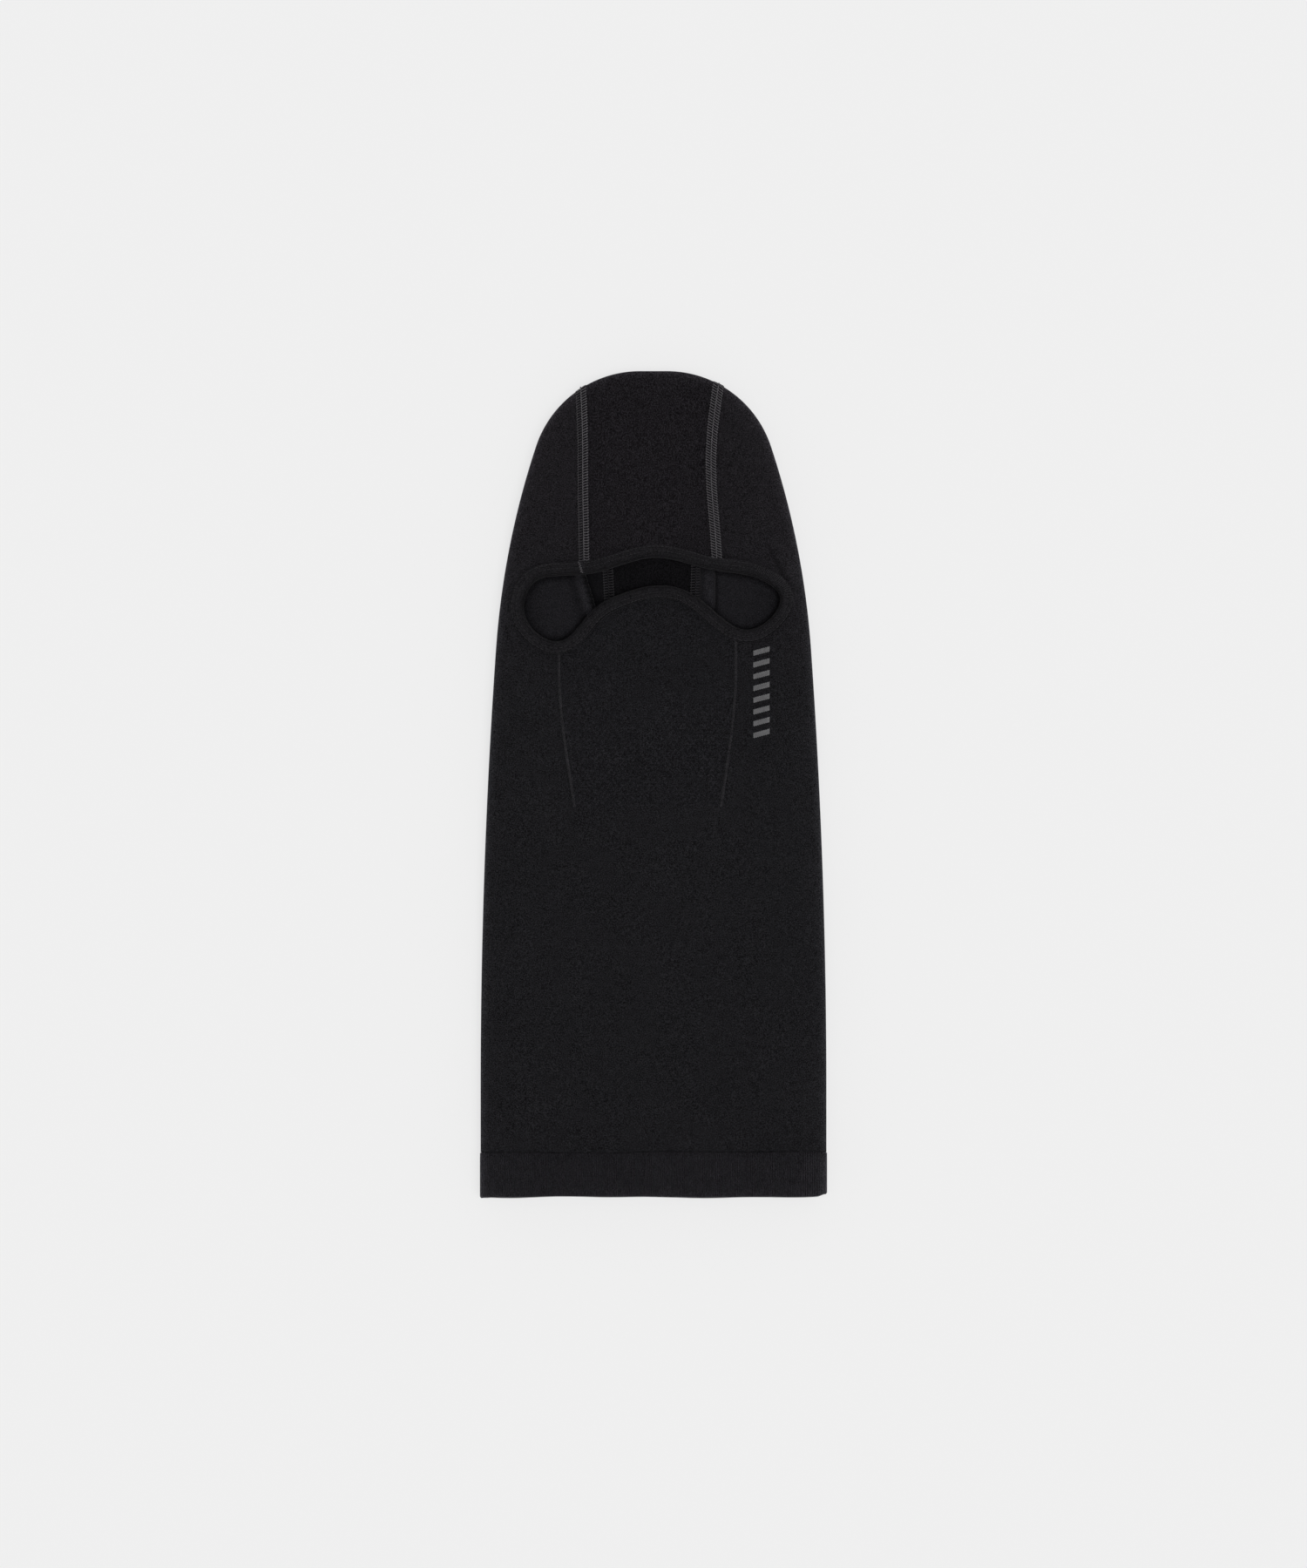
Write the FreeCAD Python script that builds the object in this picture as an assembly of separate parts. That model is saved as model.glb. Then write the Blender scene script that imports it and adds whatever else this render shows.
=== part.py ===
import FreeCAD
import Part

import math
import os

# A knitted ski balaclava as it lies flat: face opening up, crown towards +Y, neck mouth
# towards -Y, the back of the hood resting on z = 0. Millimetres. The origin is the middle
# of the plan, on the surface that the balaclava rests on.

V = FreeCAD.Vector

# Overall
GARMENT_LENGTH = 492.0       # crown fold to hem edge
HEM_WIDTH = 206.0            # flat width of the neck tube at the hem
LAY_HEIGHT = 9.4             # outside height of the tube as it lies
FOLD_RADIUS = LAY_HEIGHT / 2 - 0.5  # outside radius of the fold round the edge
FABRIC = 1.4                 # knit thickness

# Plan outline, from the crown down one side
CROWN_FLAT = 8.0             # half of the straight stretch over the crown
CROWN_TURN = 71.7            # degrees turned by the crown arc
CHEEK_RADIUS = 496.0
CHEEK_TURN = 86.0            # degrees turned by the end of the cheek arc
NECK_RADIUS = 3750.0

# Face opening, its outline given about the opening's own middle line
CROWN_TO_OPENING = 125.0     # crown fold to the opening's middle line
OPENING_OUTLINE = [          # (share of the half width, mm above the middle line)
    (-1.0, -15.2), (-0.903, 0.2), (-0.753, 3.0), (-0.458, 4.8), (-0.006, 13.8),
    (0.477, 6.3), (0.857, -0.2), (0.980, -9.8), (0.903, -22.5), (0.703, -29.3),
    (0.500, -20.5), (0.234, -5.6), (0.013, -3.0), (-0.234, -7.6), (-0.458, -16.9),
    (-0.739, -36.2), (-0.955, -27.0),
]

BROW_RISE = 4.5              # opening's upper edge above the middle line, at the left seam

# Binding tape folded over the opening's raw edge
BINDING_WIDTH = 7.4
BINDING_TO_FOLD = 0.3        # tape's outer edge to the start of the side fold
TAPE = 0.6                   # tape thickness
RAW_EDGE_IN = 0.8            # the fabric's raw edge stops this far inside the tape's fold
STITCH_ROWS = (BINDING_WIDTH - 3.4, BINDING_WIDTH - 0.8)  # needle rows, from the tape's fold
STITCH_WIDTH = 0.5
STITCH_PROUD = 0.15
STITCH_BED = 0.2

# Crown gusset and its flatlock seams
SEAM_AT_CROWN = {"left": -43.2, "right": 38.6}  # x where the seams cross the crown fold
SEAM_WAIST = {"left": -42.0, "right": 34.2}     # x half way down the front
SEAM_AT_BROW = {"left": -41.5, "right": 37.1}   # x at the face opening
SEAM_AT_BACK = {"left": -27.0, "right": 25.2}   # x on the back, level with the opening
CROWN_TO_NAPE = 262.0        # crown fold to the gusset's lower point, along the back
SEAM_WIDTH = 6.6
SEAM_PROUD = 0.35            # thread standing proud of the fabric
SEAM_BED = 0.3               # thread sunk into the fabric
NEEDLES = 4                  # needle threads in each seam
NEEDLE_PITCH = 1.9
NEEDLE_WIDTH = 0.5
NEEDLE_PROUD = 0.5
NEEDLE_BED = 0.15            # needle thread sunk into the fabric

# Mouth vent and the raised ribs at its sides
RIB_AT_BINDING = {"left": -56.0, "right": 48.8}  # x of the ribs beside the face opening
RIB_AT_END = {"left": -46.9, "right": 40.1}      # x at the vent's lower edge
OPENING_TO_VENT_END = 134.8  # opening's middle line to the vent's lower edge
RIB_STRAIGHT = 62.5          # the ribs run straight up from this far below the middle line
RIB_WIDTH = 1.3
RIB_PROUD = 0.3
RIB_BED = 0.3

# Hem
HEM_HEIGHT = 27.0
HEM_WALL = 2.2               # the hem is two thicknesses of a finer rib
HEM_PROUD = 0.4
CHAIN_WIDTH = 1.0            # linking chain in the groove above the hem

# Knitted-in mark: a column of slanted dashes
MARK_X = 64.2
OPENING_TO_MARK = 66.6       # opening's middle line to the middle of the column
MARK_BARS = 8
MARK_PITCH = 7.0
MARK_BAR_WIDTH = 9.6
MARK_BAR_HEIGHT = 3.0
MARK_BAR_SLANT = 2.6         # rise of one dash across its width
MARK_DEPTH = 0.3

# Small tacks
TACK_LENGTH = 8.0
TACK_WIDTH = 1.8
JOIN_TURN = 12.0             # degrees that the binding's join tack leans

TOP_Y = GARMENT_LENGTH / 2
HEM_Y = -GARMENT_LENGTH / 2
HEM_TOP_Y = HEM_Y + HEM_HEIGHT
OPENING_Y = TOP_Y - CROWN_TO_OPENING
NAPE_Y = TOP_Y - CROWN_TO_NAPE
VENT_END_Y = OPENING_Y - OPENING_TO_VENT_END
MID_Z = LAY_HEIGHT / 2
ROOM = 30.0                  # how far cutting tools run past what they cut


def sine(degrees):
    return math.sin(math.radians(degrees))


def cosine(degrees):
    return math.cos(math.radians(degrees))


# The crown arc takes up the width that the cheek and neck arcs leave.
CROWN_RADIUS = (
    HEM_WIDTH / 2 - CROWN_FLAT
    - CHEEK_RADIUS * (sine(CHEEK_TURN) - sine(CROWN_TURN))
    - NECK_RADIUS * (1 - sine(CHEEK_TURN))
) / sine(CROWN_TURN)


def side_arcs():
    """(centre x, centre y, radius, first turn, last turn) of each arc down the right side."""
    arcs = []
    x, y, turn = CROWN_FLAT, TOP_Y, 0.0
    for radius, end in (
        (CROWN_RADIUS, CROWN_TURN), (CHEEK_RADIUS, CHEEK_TURN), (NECK_RADIUS, 90.0),
    ):
        cx, cy = x - radius * sine(turn), y - radius * cosine(turn)
        arcs.append((cx, cy, radius, turn, end))
        x, y, turn = cx + radius * sine(end), cy + radius * cosine(end), end
    return arcs


ARCS = side_arcs()


def half_width(y):
    """Half of the plan's width at y."""
    for cx, cy, radius, first, last in ARCS:
        if y >= cy + radius * cosine(last):
            return cx + math.sqrt(max(radius ** 2 - (y - cy) ** 2, 0.0))
    return HEM_WIDTH / 2


def crown_y(x):
    """The plan outline's y above x, for an x within the crown arc's reach."""
    cx, cy, radius = ARCS[0][:3]
    reach = abs(x) - cx
    return TOP_Y if reach <= 0 else cy + math.sqrt(radius ** 2 - reach ** 2)


def outline_face(grow, z):
    """The plan outline grown all round by grow, running past the hem, as a face at z."""
    low = min(HEM_Y, ARCS[-1][1]) - ROOM
    right = []
    for cx, cy, radius, first, last in ARCS:
        r = radius + grow
        ends = [V(cx + r * sine(t), cy + r * cosine(t), z) for t in (first, (first + last) / 2, last)]
        right.append(ends)
    edges = [Part.Arc(*ends).toShape() for ends in right]
    edges += [Part.Arc(*[V(-p.x, p.y, p.z) for p in ends]).toShape() for ends in right]
    side = HEM_WIDTH / 2 + grow
    joint = right[-1][2].y
    corners = [V(side, joint, z), V(side, low, z), V(-side, low, z), V(-side, joint, z)]
    edges += [Part.makeLine(a, b) for a, b in zip(corners, corners[1:])]
    edges.append(Part.makeLine(V(-CROWN_FLAT, TOP_Y + grow, z), V(CROWN_FLAT, TOP_Y + grow, z)))
    return Part.Face(Part.Wire(Part.__sortEdges__(edges)))


def envelope(grow):
    """The whole lying shape grown by grow, with rounded folds, cut off square at the hem."""
    slab = outline_face(grow, -grow).extrude(V(0, 0, LAY_HEIGHT + 2 * grow))
    low = slab.BoundBox.YMin + 1.0
    rims = [
        e for e in slab.Edges
        if e.BoundBox.ZLength < 0.001 and e.BoundBox.YMax > low
    ]
    pillow = slab.makeFillet(FOLD_RADIUS + grow, rims)
    keep = slice_y(HEM_Y if grow > -FABRIC / 2 else HEM_Y - 1.0, TOP_Y + ROOM)
    return pillow.common(keep)


def slice_y(low, high):
    """A block across the whole width and height between two values of y."""
    width = HEM_WIDTH + 2 * ROOM
    return Part.makeBox(width, high - low, LAY_HEIGHT + 2 * ROOM, V(-width / 2, low, -ROOM))


def above_rest(shape):
    """What of a shape lies on or above the resting plane."""
    size = GARMENT_LENGTH + HEM_WIDTH
    return shape.common(Part.makeBox(2 * size, 2 * size, size, V(-size, -size, 0)))


def curve_through(points, z):
    spline = Part.BSplineCurve()
    spline.interpolate([V(x, y, z) for x, y in points])
    return spline


def strip_between(left, right, z):
    """The face between two open plan curves, each a list of points from low y to high y."""
    a, b = curve_through(left, z), curve_through(right, z)
    edges = [
        a.toShape(),
        Part.makeLine(a.EndPoint, b.EndPoint),
        b.toShape(),
        Part.makeLine(b.StartPoint, a.StartPoint),
    ]
    return Part.Face(Part.Wire(Part.__sortEdges__(edges)))


def front_prism(face):
    """Through the upper half of the lying shape, from its middle plane up."""
    return face.extrude(V(0, 0, MID_Z + ROOM))


def back_prism(face):
    """Through the lower half of the lying shape, from its middle plane down."""
    return face.extrude(V(0, 0, -MID_Z - ROOM))


def shifted(points, dx):
    return [(x + dx, y) for x, y in points]


# Seam lines, from low y to high y. They run straight over the crown fold, so that the front
# and back lines meet there.
def seam_front(side):
    """Seam line on the front, from inside the opening to past the crown fold."""
    crown, waist, brow = SEAM_AT_CROWN[side], SEAM_WAIST[side], SEAM_AT_BROW[side]
    fold = crown_y(crown)
    middle = (OPENING_Y + fold) / 2
    return [
        (brow, OPENING_Y), (waist, middle),
        (crown, fold - FOLD_RADIUS), (crown, fold + ROOM / 3),
    ]


def seam_back(side):
    """Seam line on the back, from the nape point to past the crown fold."""
    crown, back = SEAM_AT_CROWN[side], SEAM_AT_BACK[side]
    fold = crown_y(crown)
    drop = OPENING_Y - NAPE_Y
    return [
        (0, NAPE_Y), (back * 0.62, NAPE_Y + drop * 0.36), (back * 0.92, NAPE_Y + drop * 0.72),
        (back, OPENING_Y), ((crown + back) / 2, (OPENING_Y + fold) / 2),
        (crown, fold - FOLD_RADIUS), (crown, fold + ROOM / 3),
    ]


def gusset_tool():
    """Everything between the two seam lines, over the front, the crown fold and the back."""
    front = front_prism(strip_between(seam_front("left"), seam_front("right"), MID_Z))
    a, b = curve_through(seam_back("left"), MID_Z), curve_through(seam_back("right"), MID_Z)
    edges = [a.toShape(), Part.makeLine(a.EndPoint, b.EndPoint), b.toShape()]
    back = back_prism(Part.Face(Part.Wire(Part.__sortEdges__(edges))))
    return front.fuse(back).removeSplitter()


def seam_band(side, middle, width):
    """A band along one seam, its middle beside the seam line, over the front, fold and back."""
    low, high = middle - width / 2, middle + width / 2
    line = seam_front(side)
    front = front_prism(strip_between(shifted(line, low), shifted(line, high), MID_Z))
    line = seam_back(side)
    back = back_prism(strip_between(shifted(line, low), shifted(line, high), MID_Z))
    reach = GARMENT_LENGTH
    near = V(-reach if side == "left" else 0, -reach, -reach)
    own_side = Part.makeBox(reach, 2 * reach, 2 * reach, near)
    return front.fuse(back.common(own_side)).removeSplitter()


def opening_curve(out):
    """The opening's outline moved outwards by out, as a closed curve."""
    span = half_width(OPENING_Y) - FOLD_RADIUS - BINDING_TO_FOLD - BINDING_WIDTH
    edge = Part.BSplineCurve()
    edge.interpolate([V(f * span, OPENING_Y + up, 0) for f, up in OPENING_OUTLINE], PeriodicFlag=True)
    if out == 0:
        return edge
    count = 4 * len(OPENING_OUTLINE)
    first, last = edge.FirstParameter, edge.LastParameter
    moved = []
    for i in range(count):
        at = first + (last - first) * i / count
        along = edge.tangent(at)[0]
        # The outline runs clockwise, so its left hand points outwards.
        moved.append(edge.value(at) + V(-along.y, along.x, 0) * out)
    spline = Part.BSplineCurve()
    spline.interpolate(moved, PeriodicFlag=True)
    return spline


def opening_plug(out, low, high):
    """A solid through the opening's outline moved outwards by out, from z low to z high."""
    wire = Part.Wire([opening_curve(out).toShape()])
    wire.translate(V(0, 0, low))
    return Part.Face(wire).extrude(V(0, 0, high - low))


def opening_ring(inner, outer, low, high):
    """The ring between the opening's outline moved outwards by inner and by outer."""
    return opening_plug(outer, low, high).cut(opening_plug(inner, low - 1, high + 1))


def rib_line(side):
    """Line of the rib at one side of the vent, from its lower end up to the binding."""
    low, high = RIB_AT_END[side], RIB_AT_BINDING[side]
    bend = OPENING_Y - RIB_STRAIGHT
    middle = (VENT_END_Y + bend) / 2
    under_binding = OPENING_Y - RIB_STRAIGHT / 2
    return [
        (low, VENT_END_Y), (low + (high - low) * 0.6, middle), (high, bend), (high, under_binding),
    ]


def rib_tool(side):
    """The rib along one side of the vent, part sunk in the fabric."""
    line = rib_line(side)
    half = RIB_WIDTH / 2
    face = strip_between(shifted(line, -half), shifted(line, half), LAY_HEIGHT - RIB_BED)
    return face.extrude(V(0, 0, RIB_BED + RIB_PROUD))


def vent_tool():
    """The front of the fabric between the two ribs, up into the opening."""
    lines = [
        rib_line(side) + [(RIB_AT_BINDING[side] * 0.7, OPENING_Y)] for side in ("left", "right")
    ]
    return front_prism(strip_between(*lines, MID_Z))


def mark_bars(low, high):
    """The slanted dashes of the mark, as separate blocks from z low to z high."""
    left, right = MARK_X - MARK_BAR_WIDTH / 2, MARK_X + MARK_BAR_WIDTH / 2
    rise = MARK_BAR_SLANT / 2
    bars = []
    for i in range(MARK_BARS):
        middle = OPENING_Y - OPENING_TO_MARK + (i - (MARK_BARS - 1) / 2) * MARK_PITCH
        under, over = middle - MARK_BAR_HEIGHT / 2, middle + MARK_BAR_HEIGHT / 2
        corners = [
            V(left, under - rise, low), V(right, under + rise, low),
            V(right, over + rise, low), V(left, over - rise, low),
        ]
        face = Part.Face(Part.makePolygon(corners + corners[:1]))
        bars.append(face.extrude(V(0, 0, high - low)))
    return Part.makeCompound(bars)


def tack(x, y, turn, low, high):
    """A short tack of dense zigzag stitching, turned in the plan."""
    block = Part.makeBox(TACK_WIDTH, TACK_LENGTH, high - low, V(-TACK_WIDTH / 2, -TACK_LENGTH / 2, low))
    block.rotate(V(0, 0, 0), V(0, 0, 1), turn)
    block.translate(V(x, y, 0))
    return block


def build():
    """Every sub-part by name."""
    top = LAY_HEIGHT
    outer, inner = envelope(0), envelope(-FABRIC)
    wall = outer.cut(inner)

    gusset = gusset_tool()
    past_binding = opening_plug(BINDING_WIDTH, MID_Z, top + ROOM)
    raw_hole = opening_plug(RAW_EDGE_IN, MID_Z, top + ROOM)

    # Flatlock threads: a strip outside the fabric and one inside it, each sunk a little,
    # and the needle threads lying along the outside one.
    outside = above_rest(envelope(SEAM_PROUD)).cut(envelope(-SEAM_BED))
    along = above_rest(envelope(NEEDLE_PROUD)).cut(envelope(-NEEDLE_BED))
    inside = envelope(SEAM_BED - FABRIC).cut(envelope(-FABRIC - SEAM_PROUD))
    parts = {}
    threads = []
    for side in ("left", "right"):
        band = seam_band(side, 0, SEAM_WIDTH)
        rows = [
            seam_band(side, (i - (NEEDLES - 1) / 2) * NEEDLE_PITCH, NEEDLE_WIDTH)
            for i in range(NEEDLES)
        ]
        needles = along.common(rows).cut(past_binding)
        cover = outside.common(band).cut([past_binding, needles])
        looper = inside.common(band).cut(past_binding)
        parts["seam_" + side + "_needle_threads"] = needles
        parts["seam_" + side + "_cover_threads"] = cover
        parts["seam_" + side + "_looper_threads"] = looper
        threads += [needles, cover, looper]

    # Mouth vent, its ribs and the mark
    vent_region = vent_tool()
    for side in ("left", "right"):
        parts["vent_rib_" + side] = rib_tool(side).cut(past_binding)
    mark = mark_bars(top - MARK_DEPTH, top)
    parts["knitted_mark"] = mark

    # The knit pieces
    taken = threads + [parts["vent_rib_left"], parts["vent_rib_right"], raw_hole]
    tube_wall = wall.common(slice_y(HEM_TOP_Y, TOP_Y + ROOM)).cut(taken)
    parts["crown_gusset"] = tube_wall.common(gusset)
    rest = tube_wall.cut(gusset)
    parts["mouth_vent"] = rest.common(vent_region)
    parts["knit_tube"] = rest.cut([vent_region, mark])

    # Hem band and its linking chain
    chain_block = slice_y(HEM_TOP_Y - CHAIN_WIDTH / 2, HEM_TOP_Y + CHAIN_WIDTH / 2)
    band_wall = above_rest(envelope(HEM_PROUD)).cut(envelope(-HEM_WALL))
    chain = outer.cut(envelope(-SEAM_BED)).common(chain_block)
    parts["hem_linking_chain"] = chain
    groove = chain_block.cut(envelope(-SEAM_BED))
    parts["hem_band"] = band_wall.common(slice_y(HEM_Y, HEM_TOP_Y)).cut(groove)
    parts["knit_tube"] = parts["knit_tube"].cut(chain)

    # Binding round the opening, with its needle and looper threads
    low, high = top - FABRIC - TAPE, top + TAPE
    fabric_slot = opening_ring(RAW_EDGE_IN, BINDING_WIDTH + 1, top - FABRIC, top)
    half = STITCH_WIDTH / 2
    rows = [
        opening_ring(at - half, at + half, high - STITCH_BED, high + STITCH_PROUD)
        for at in STITCH_ROWS
    ]
    first, last = STITCH_ROWS
    looper = opening_ring(first - half, last + half, low - STITCH_PROUD, low + STITCH_BED)
    edge_y = OPENING_Y + BROW_RISE
    join = tack(
        SEAM_AT_BROW["left"], edge_y + BINDING_WIDTH / 2, JOIN_TURN,
        high - STITCH_BED, high + 2 * STITCH_PROUD,
    )
    parts["binding_needle_threads"] = Part.makeCompound(rows).cut(join)
    parts["binding_looper_thread"] = looper
    parts["binding_join_tack"] = join
    parts["face_binding"] = opening_ring(0, BINDING_WIDTH, low, high).cut(
        [fabric_slot, join, looper] + rows
    )

    # Tack that locks the two seams together at the nape
    nape = tack(0, NAPE_Y, 90, 0, SEAM_BED)
    crossed = ["knit_tube", "crown_gusset"]
    for side in ("left", "right"):
        crossed += ["seam_" + side + "_cover_threads", "seam_" + side + "_needle_threads"]
    for name in crossed:
        parts[name] = parts[name].cut(nape)
    parts["nape_tack"] = nape
    return parts


def main():
    os.makedirs("parts", exist_ok=True)
    for name, shape in build().items():
        solids = shape.Solids
        whole = solids[0] if len(solids) == 1 else Part.makeCompound(solids)
        whole.exportStep("parts/" + name + ".step")
        box = whole.optimalBoundingBox(False)
        print(
            f"{name:28s} solids {len(solids)}  valid {whole.isValid()}  volume {whole.Volume:9.1f}"
            f"  x {box.XMin:7.2f} {box.XMax:7.2f}  y {box.YMin:7.2f} {box.YMax:7.2f}"
            f"  z {box.ZMin:5.2f} {box.ZMax:5.2f}"
        )


main()
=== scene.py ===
"""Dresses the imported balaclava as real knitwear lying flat.

Everything is in metres in the part's own frame: +X across, +Y along the length to the crown, +Z up
out of the face opening. The lying tube is described once, as a front and a back surface over the
plan, and every panel, tape and thread is laid on those surfaces.
"""

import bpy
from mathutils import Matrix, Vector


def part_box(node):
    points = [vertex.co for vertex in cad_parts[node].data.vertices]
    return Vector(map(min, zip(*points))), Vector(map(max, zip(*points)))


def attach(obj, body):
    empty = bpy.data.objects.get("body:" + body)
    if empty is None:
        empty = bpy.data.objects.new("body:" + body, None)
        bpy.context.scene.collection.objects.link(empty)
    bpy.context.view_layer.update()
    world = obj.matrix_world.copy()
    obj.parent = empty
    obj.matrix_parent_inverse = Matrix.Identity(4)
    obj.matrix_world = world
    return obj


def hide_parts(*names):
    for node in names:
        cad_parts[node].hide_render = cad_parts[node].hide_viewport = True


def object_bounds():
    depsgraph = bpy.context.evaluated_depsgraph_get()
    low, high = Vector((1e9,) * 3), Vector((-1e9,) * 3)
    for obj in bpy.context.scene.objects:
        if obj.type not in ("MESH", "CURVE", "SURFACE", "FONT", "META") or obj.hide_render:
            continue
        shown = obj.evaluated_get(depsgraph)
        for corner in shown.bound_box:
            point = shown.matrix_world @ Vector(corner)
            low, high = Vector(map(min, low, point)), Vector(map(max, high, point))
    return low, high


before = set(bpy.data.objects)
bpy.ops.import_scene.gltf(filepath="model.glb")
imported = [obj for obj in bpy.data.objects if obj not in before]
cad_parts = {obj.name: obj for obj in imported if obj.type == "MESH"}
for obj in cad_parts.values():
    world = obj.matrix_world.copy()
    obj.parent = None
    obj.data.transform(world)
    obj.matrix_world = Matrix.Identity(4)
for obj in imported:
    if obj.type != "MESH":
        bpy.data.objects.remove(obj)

CAD_BOX = [list(corner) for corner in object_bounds()]

import logging
import math
from collections.abc import Callable
from dataclasses import dataclass, field
from enum import Enum

import bpy
import numpy as np

Array = np.ndarray
Socket = bpy.types.NodeSocket
Number = float | bpy.types.NodeSocket
MM = 0.001
SETTLE = 6  # how many times a panel's rows are fitted again to the lines that they run between
LOG = logging.getLogger("balaclava")


class Side(Enum):
    """Which layer of the lying tube a point is on; the value is the sign of its outward z."""

    FRONT = 1.0
    BACK = -1.0


# ---------------------------------------------------------------------------------- curves


def smooth(x: Array, low: float, high: float) -> Array:
    """A smooth step from 0 at low to 1 at high: 3t^2 - 2t^3 of the clipped fraction t."""
    t = np.clip((np.asarray(x, float) - low) / (high - low), 0.0, 1.0)
    return t * t * (3.0 - 2.0 * t)


def bell(x: Array, middle: float, width: float) -> Array:
    """A bell curve, 1 at its middle: e to minus the square of (x - middle) / width."""
    return np.exp(-(((x - middle) / width) ** 2))


def cubic(knots: Array, values: Array, at: Array, period: float = 0.0) -> Array:
    """A cubic spline through values at knots, natural at its ends or periodic.

    Args:
        knots: rising parameters, one for each value.
        values: (n,) or (n, k) values at the knots.
        at: parameters to evaluate at.
        period: the length of one round for a closed spline, or 0 for an open one.

    Returns:
        The spline's values at the parameters asked for.
    """
    t, v = np.asarray(knots, float), np.asarray(values, float)
    if period:
        t, v = np.append(t, t[0] + period), np.concatenate([v, v[:1]])
    n = len(t)
    h = np.diff(t)
    slope = np.diff(v, axis=0) / h.reshape(-1, *[1] * (v.ndim - 1))
    a = np.zeros((n, n))
    b = np.zeros_like(v)
    i = np.arange(1, n - 1)
    a[i, i - 1], a[i, i], a[i, i + 1] = h[i - 1], 2 * (h[i - 1] + h[i]), h[i]
    b[i] = 6 * (slope[i] - slope[i - 1])
    a[0, 0] = a[-1, -1] = 1.0
    if period:
        a[0, :2], a[0, -2:] = (2 * h[0], h[0]), (h[-1], 2 * h[-1])
        b[0] = 6 * (slope[0] - slope[-1])
        a[-1, 0] = -1.0
    bend = np.linalg.solve(a, b)
    at = np.asarray(at, float)
    if period:
        at = t[0] + np.mod(at - t[0], period)
    k = np.clip(np.searchsorted(t, at, side="right") - 1, 0, n - 2)
    shape = at.shape + (1,) * (v.ndim - 1)
    w, p = h[k].reshape(shape), ((at - t[k]) / h[k]).reshape(shape)
    q = 1.0 - p
    curve = (q**3 - q) * bend[k] + (p**3 - p) * bend[k + 1]
    return q * v[k] + p * v[k + 1] + w * w / 6 * curve


@dataclass(frozen=True)
class Line:
    """A line down the garment, as x at a height y, through a few (y, x) points in millimetres."""

    points: tuple[tuple[float, float], ...]

    def x(self, y: Array) -> Array:
        """The line's x at y, held constant past its ends."""
        knots, values = np.array(self.points).T * MM
        return cubic(knots, values, np.clip(y, knots[0], knots[-1]))


# ---------------------------------------------------------------------------------- the lying tube


@dataclass(frozen=True)
class Outline:
    """The plan outline: a short straight crown, three tangent arcs down each side, then straight.

    Attributes:
        top: the crown's height.
        half: half of the width of the straight part.
        crown_flat: half of the straight stretch across the crown.
        cheek: the second arc's radius.
        neck: the third arc's radius.
        turns: how far each arc has turned from level at its end, in degrees.
    """

    top: float
    half: float
    crown_flat: float = 8.0 * MM
    cheek: float = 496.0 * MM
    neck: float = 3750.0 * MM
    turns: tuple[float, float, float] = (71.7, 86.0, 90.0)

    def arcs(self) -> list[tuple[float, float, float, float, float]]:
        """The three arcs, each starting where and as the one before it ends.

        Returns:
            Centre x, centre y, radius, first turn and last turn of each; turn 0 points along +Y.
        """
        ends = np.radians(self.turns)
        s = np.sin(ends)
        spare = self.half - self.crown_flat - self.cheek * (s[1] - s[0]) - self.neck * (1 - s[1])
        found, x, y, turn = [], self.crown_flat, self.top, 0.0
        for radius, end in zip((spare / s[0], self.cheek, self.neck), ends):
            cx, cy = x - radius * math.sin(turn), y - radius * math.cos(turn)
            found.append((cx, cy, radius, turn, end))
            x, y, turn = cx + radius * math.sin(end), cy + radius * math.cos(end), end
        return found

    def half_width(self, y: Array) -> Array:
        """Half of the plan's width at y: each arc's centre plus its reach at that height.

        Args:
            y: plan heights, in metres.

        Returns:
            The distance from the middle line to the outline at each height.
        """
        width = np.full(np.shape(y), self.half)
        for cx, cy, r, first, last in self.arcs():
            here = (y >= cy + r * math.cos(last)) & (y <= cy + r * math.cos(first))
            width = np.where(here, cx + np.sqrt(np.maximum(r * r - (y - cy) ** 2, 0)), width)
        return width

    def crown(self, x: Array) -> Array:
        """The outline's y above x, on the crown's straight stretch or its first arc."""
        cx, cy, r = self.arcs()[0][:3]
        return cy + np.sqrt(r * r - np.clip(np.abs(x) - cx, 0, r) ** 2)

    def inset(self, x: Array, y: Array) -> Array:
        """How far a plan point lies inside the outline: each arc's radius less its distance.

        Args:
            x: plan positions across, in metres.
            y: plan heights, in metres.

        Returns:
            The distance in from the outline, in metres.
        """
        x = np.abs(x)
        depth = np.full(np.broadcast(x, y).shape, self.half)
        for cx, cy, r, first, last in self.arcs():
            turn = np.arctan2(x - cx, y - cy)
            here = (turn >= first) & (turn <= last)
            depth = np.where(here, np.minimum(depth, r - np.hypot(x - cx, y - cy)), depth)
        low = self.arcs()[-1][1]
        depth = np.where(y <= low, np.minimum(depth, self.half - x), depth)
        return np.where(x <= self.crown_flat, np.minimum(depth, self.top - y), depth)

    def outward(self, x: Array, y: Array) -> Array:
        """The plan direction away from the middle, from small differences of the inset.

        Args:
            x: plan positions across, in metres.
            y: plan heights, in metres.

        Returns:
            Unit directions in plan, as x and y.
        """
        step = 0.05 * MM
        gx = self.inset(x - step, y) - self.inset(x + step, y)
        gy = self.inset(x, y - step) - self.inset(x, y + step)
        length = np.maximum(np.hypot(gx, gy), 1e-12)
        return np.stack([gx / length, gy / length], -1)


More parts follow.
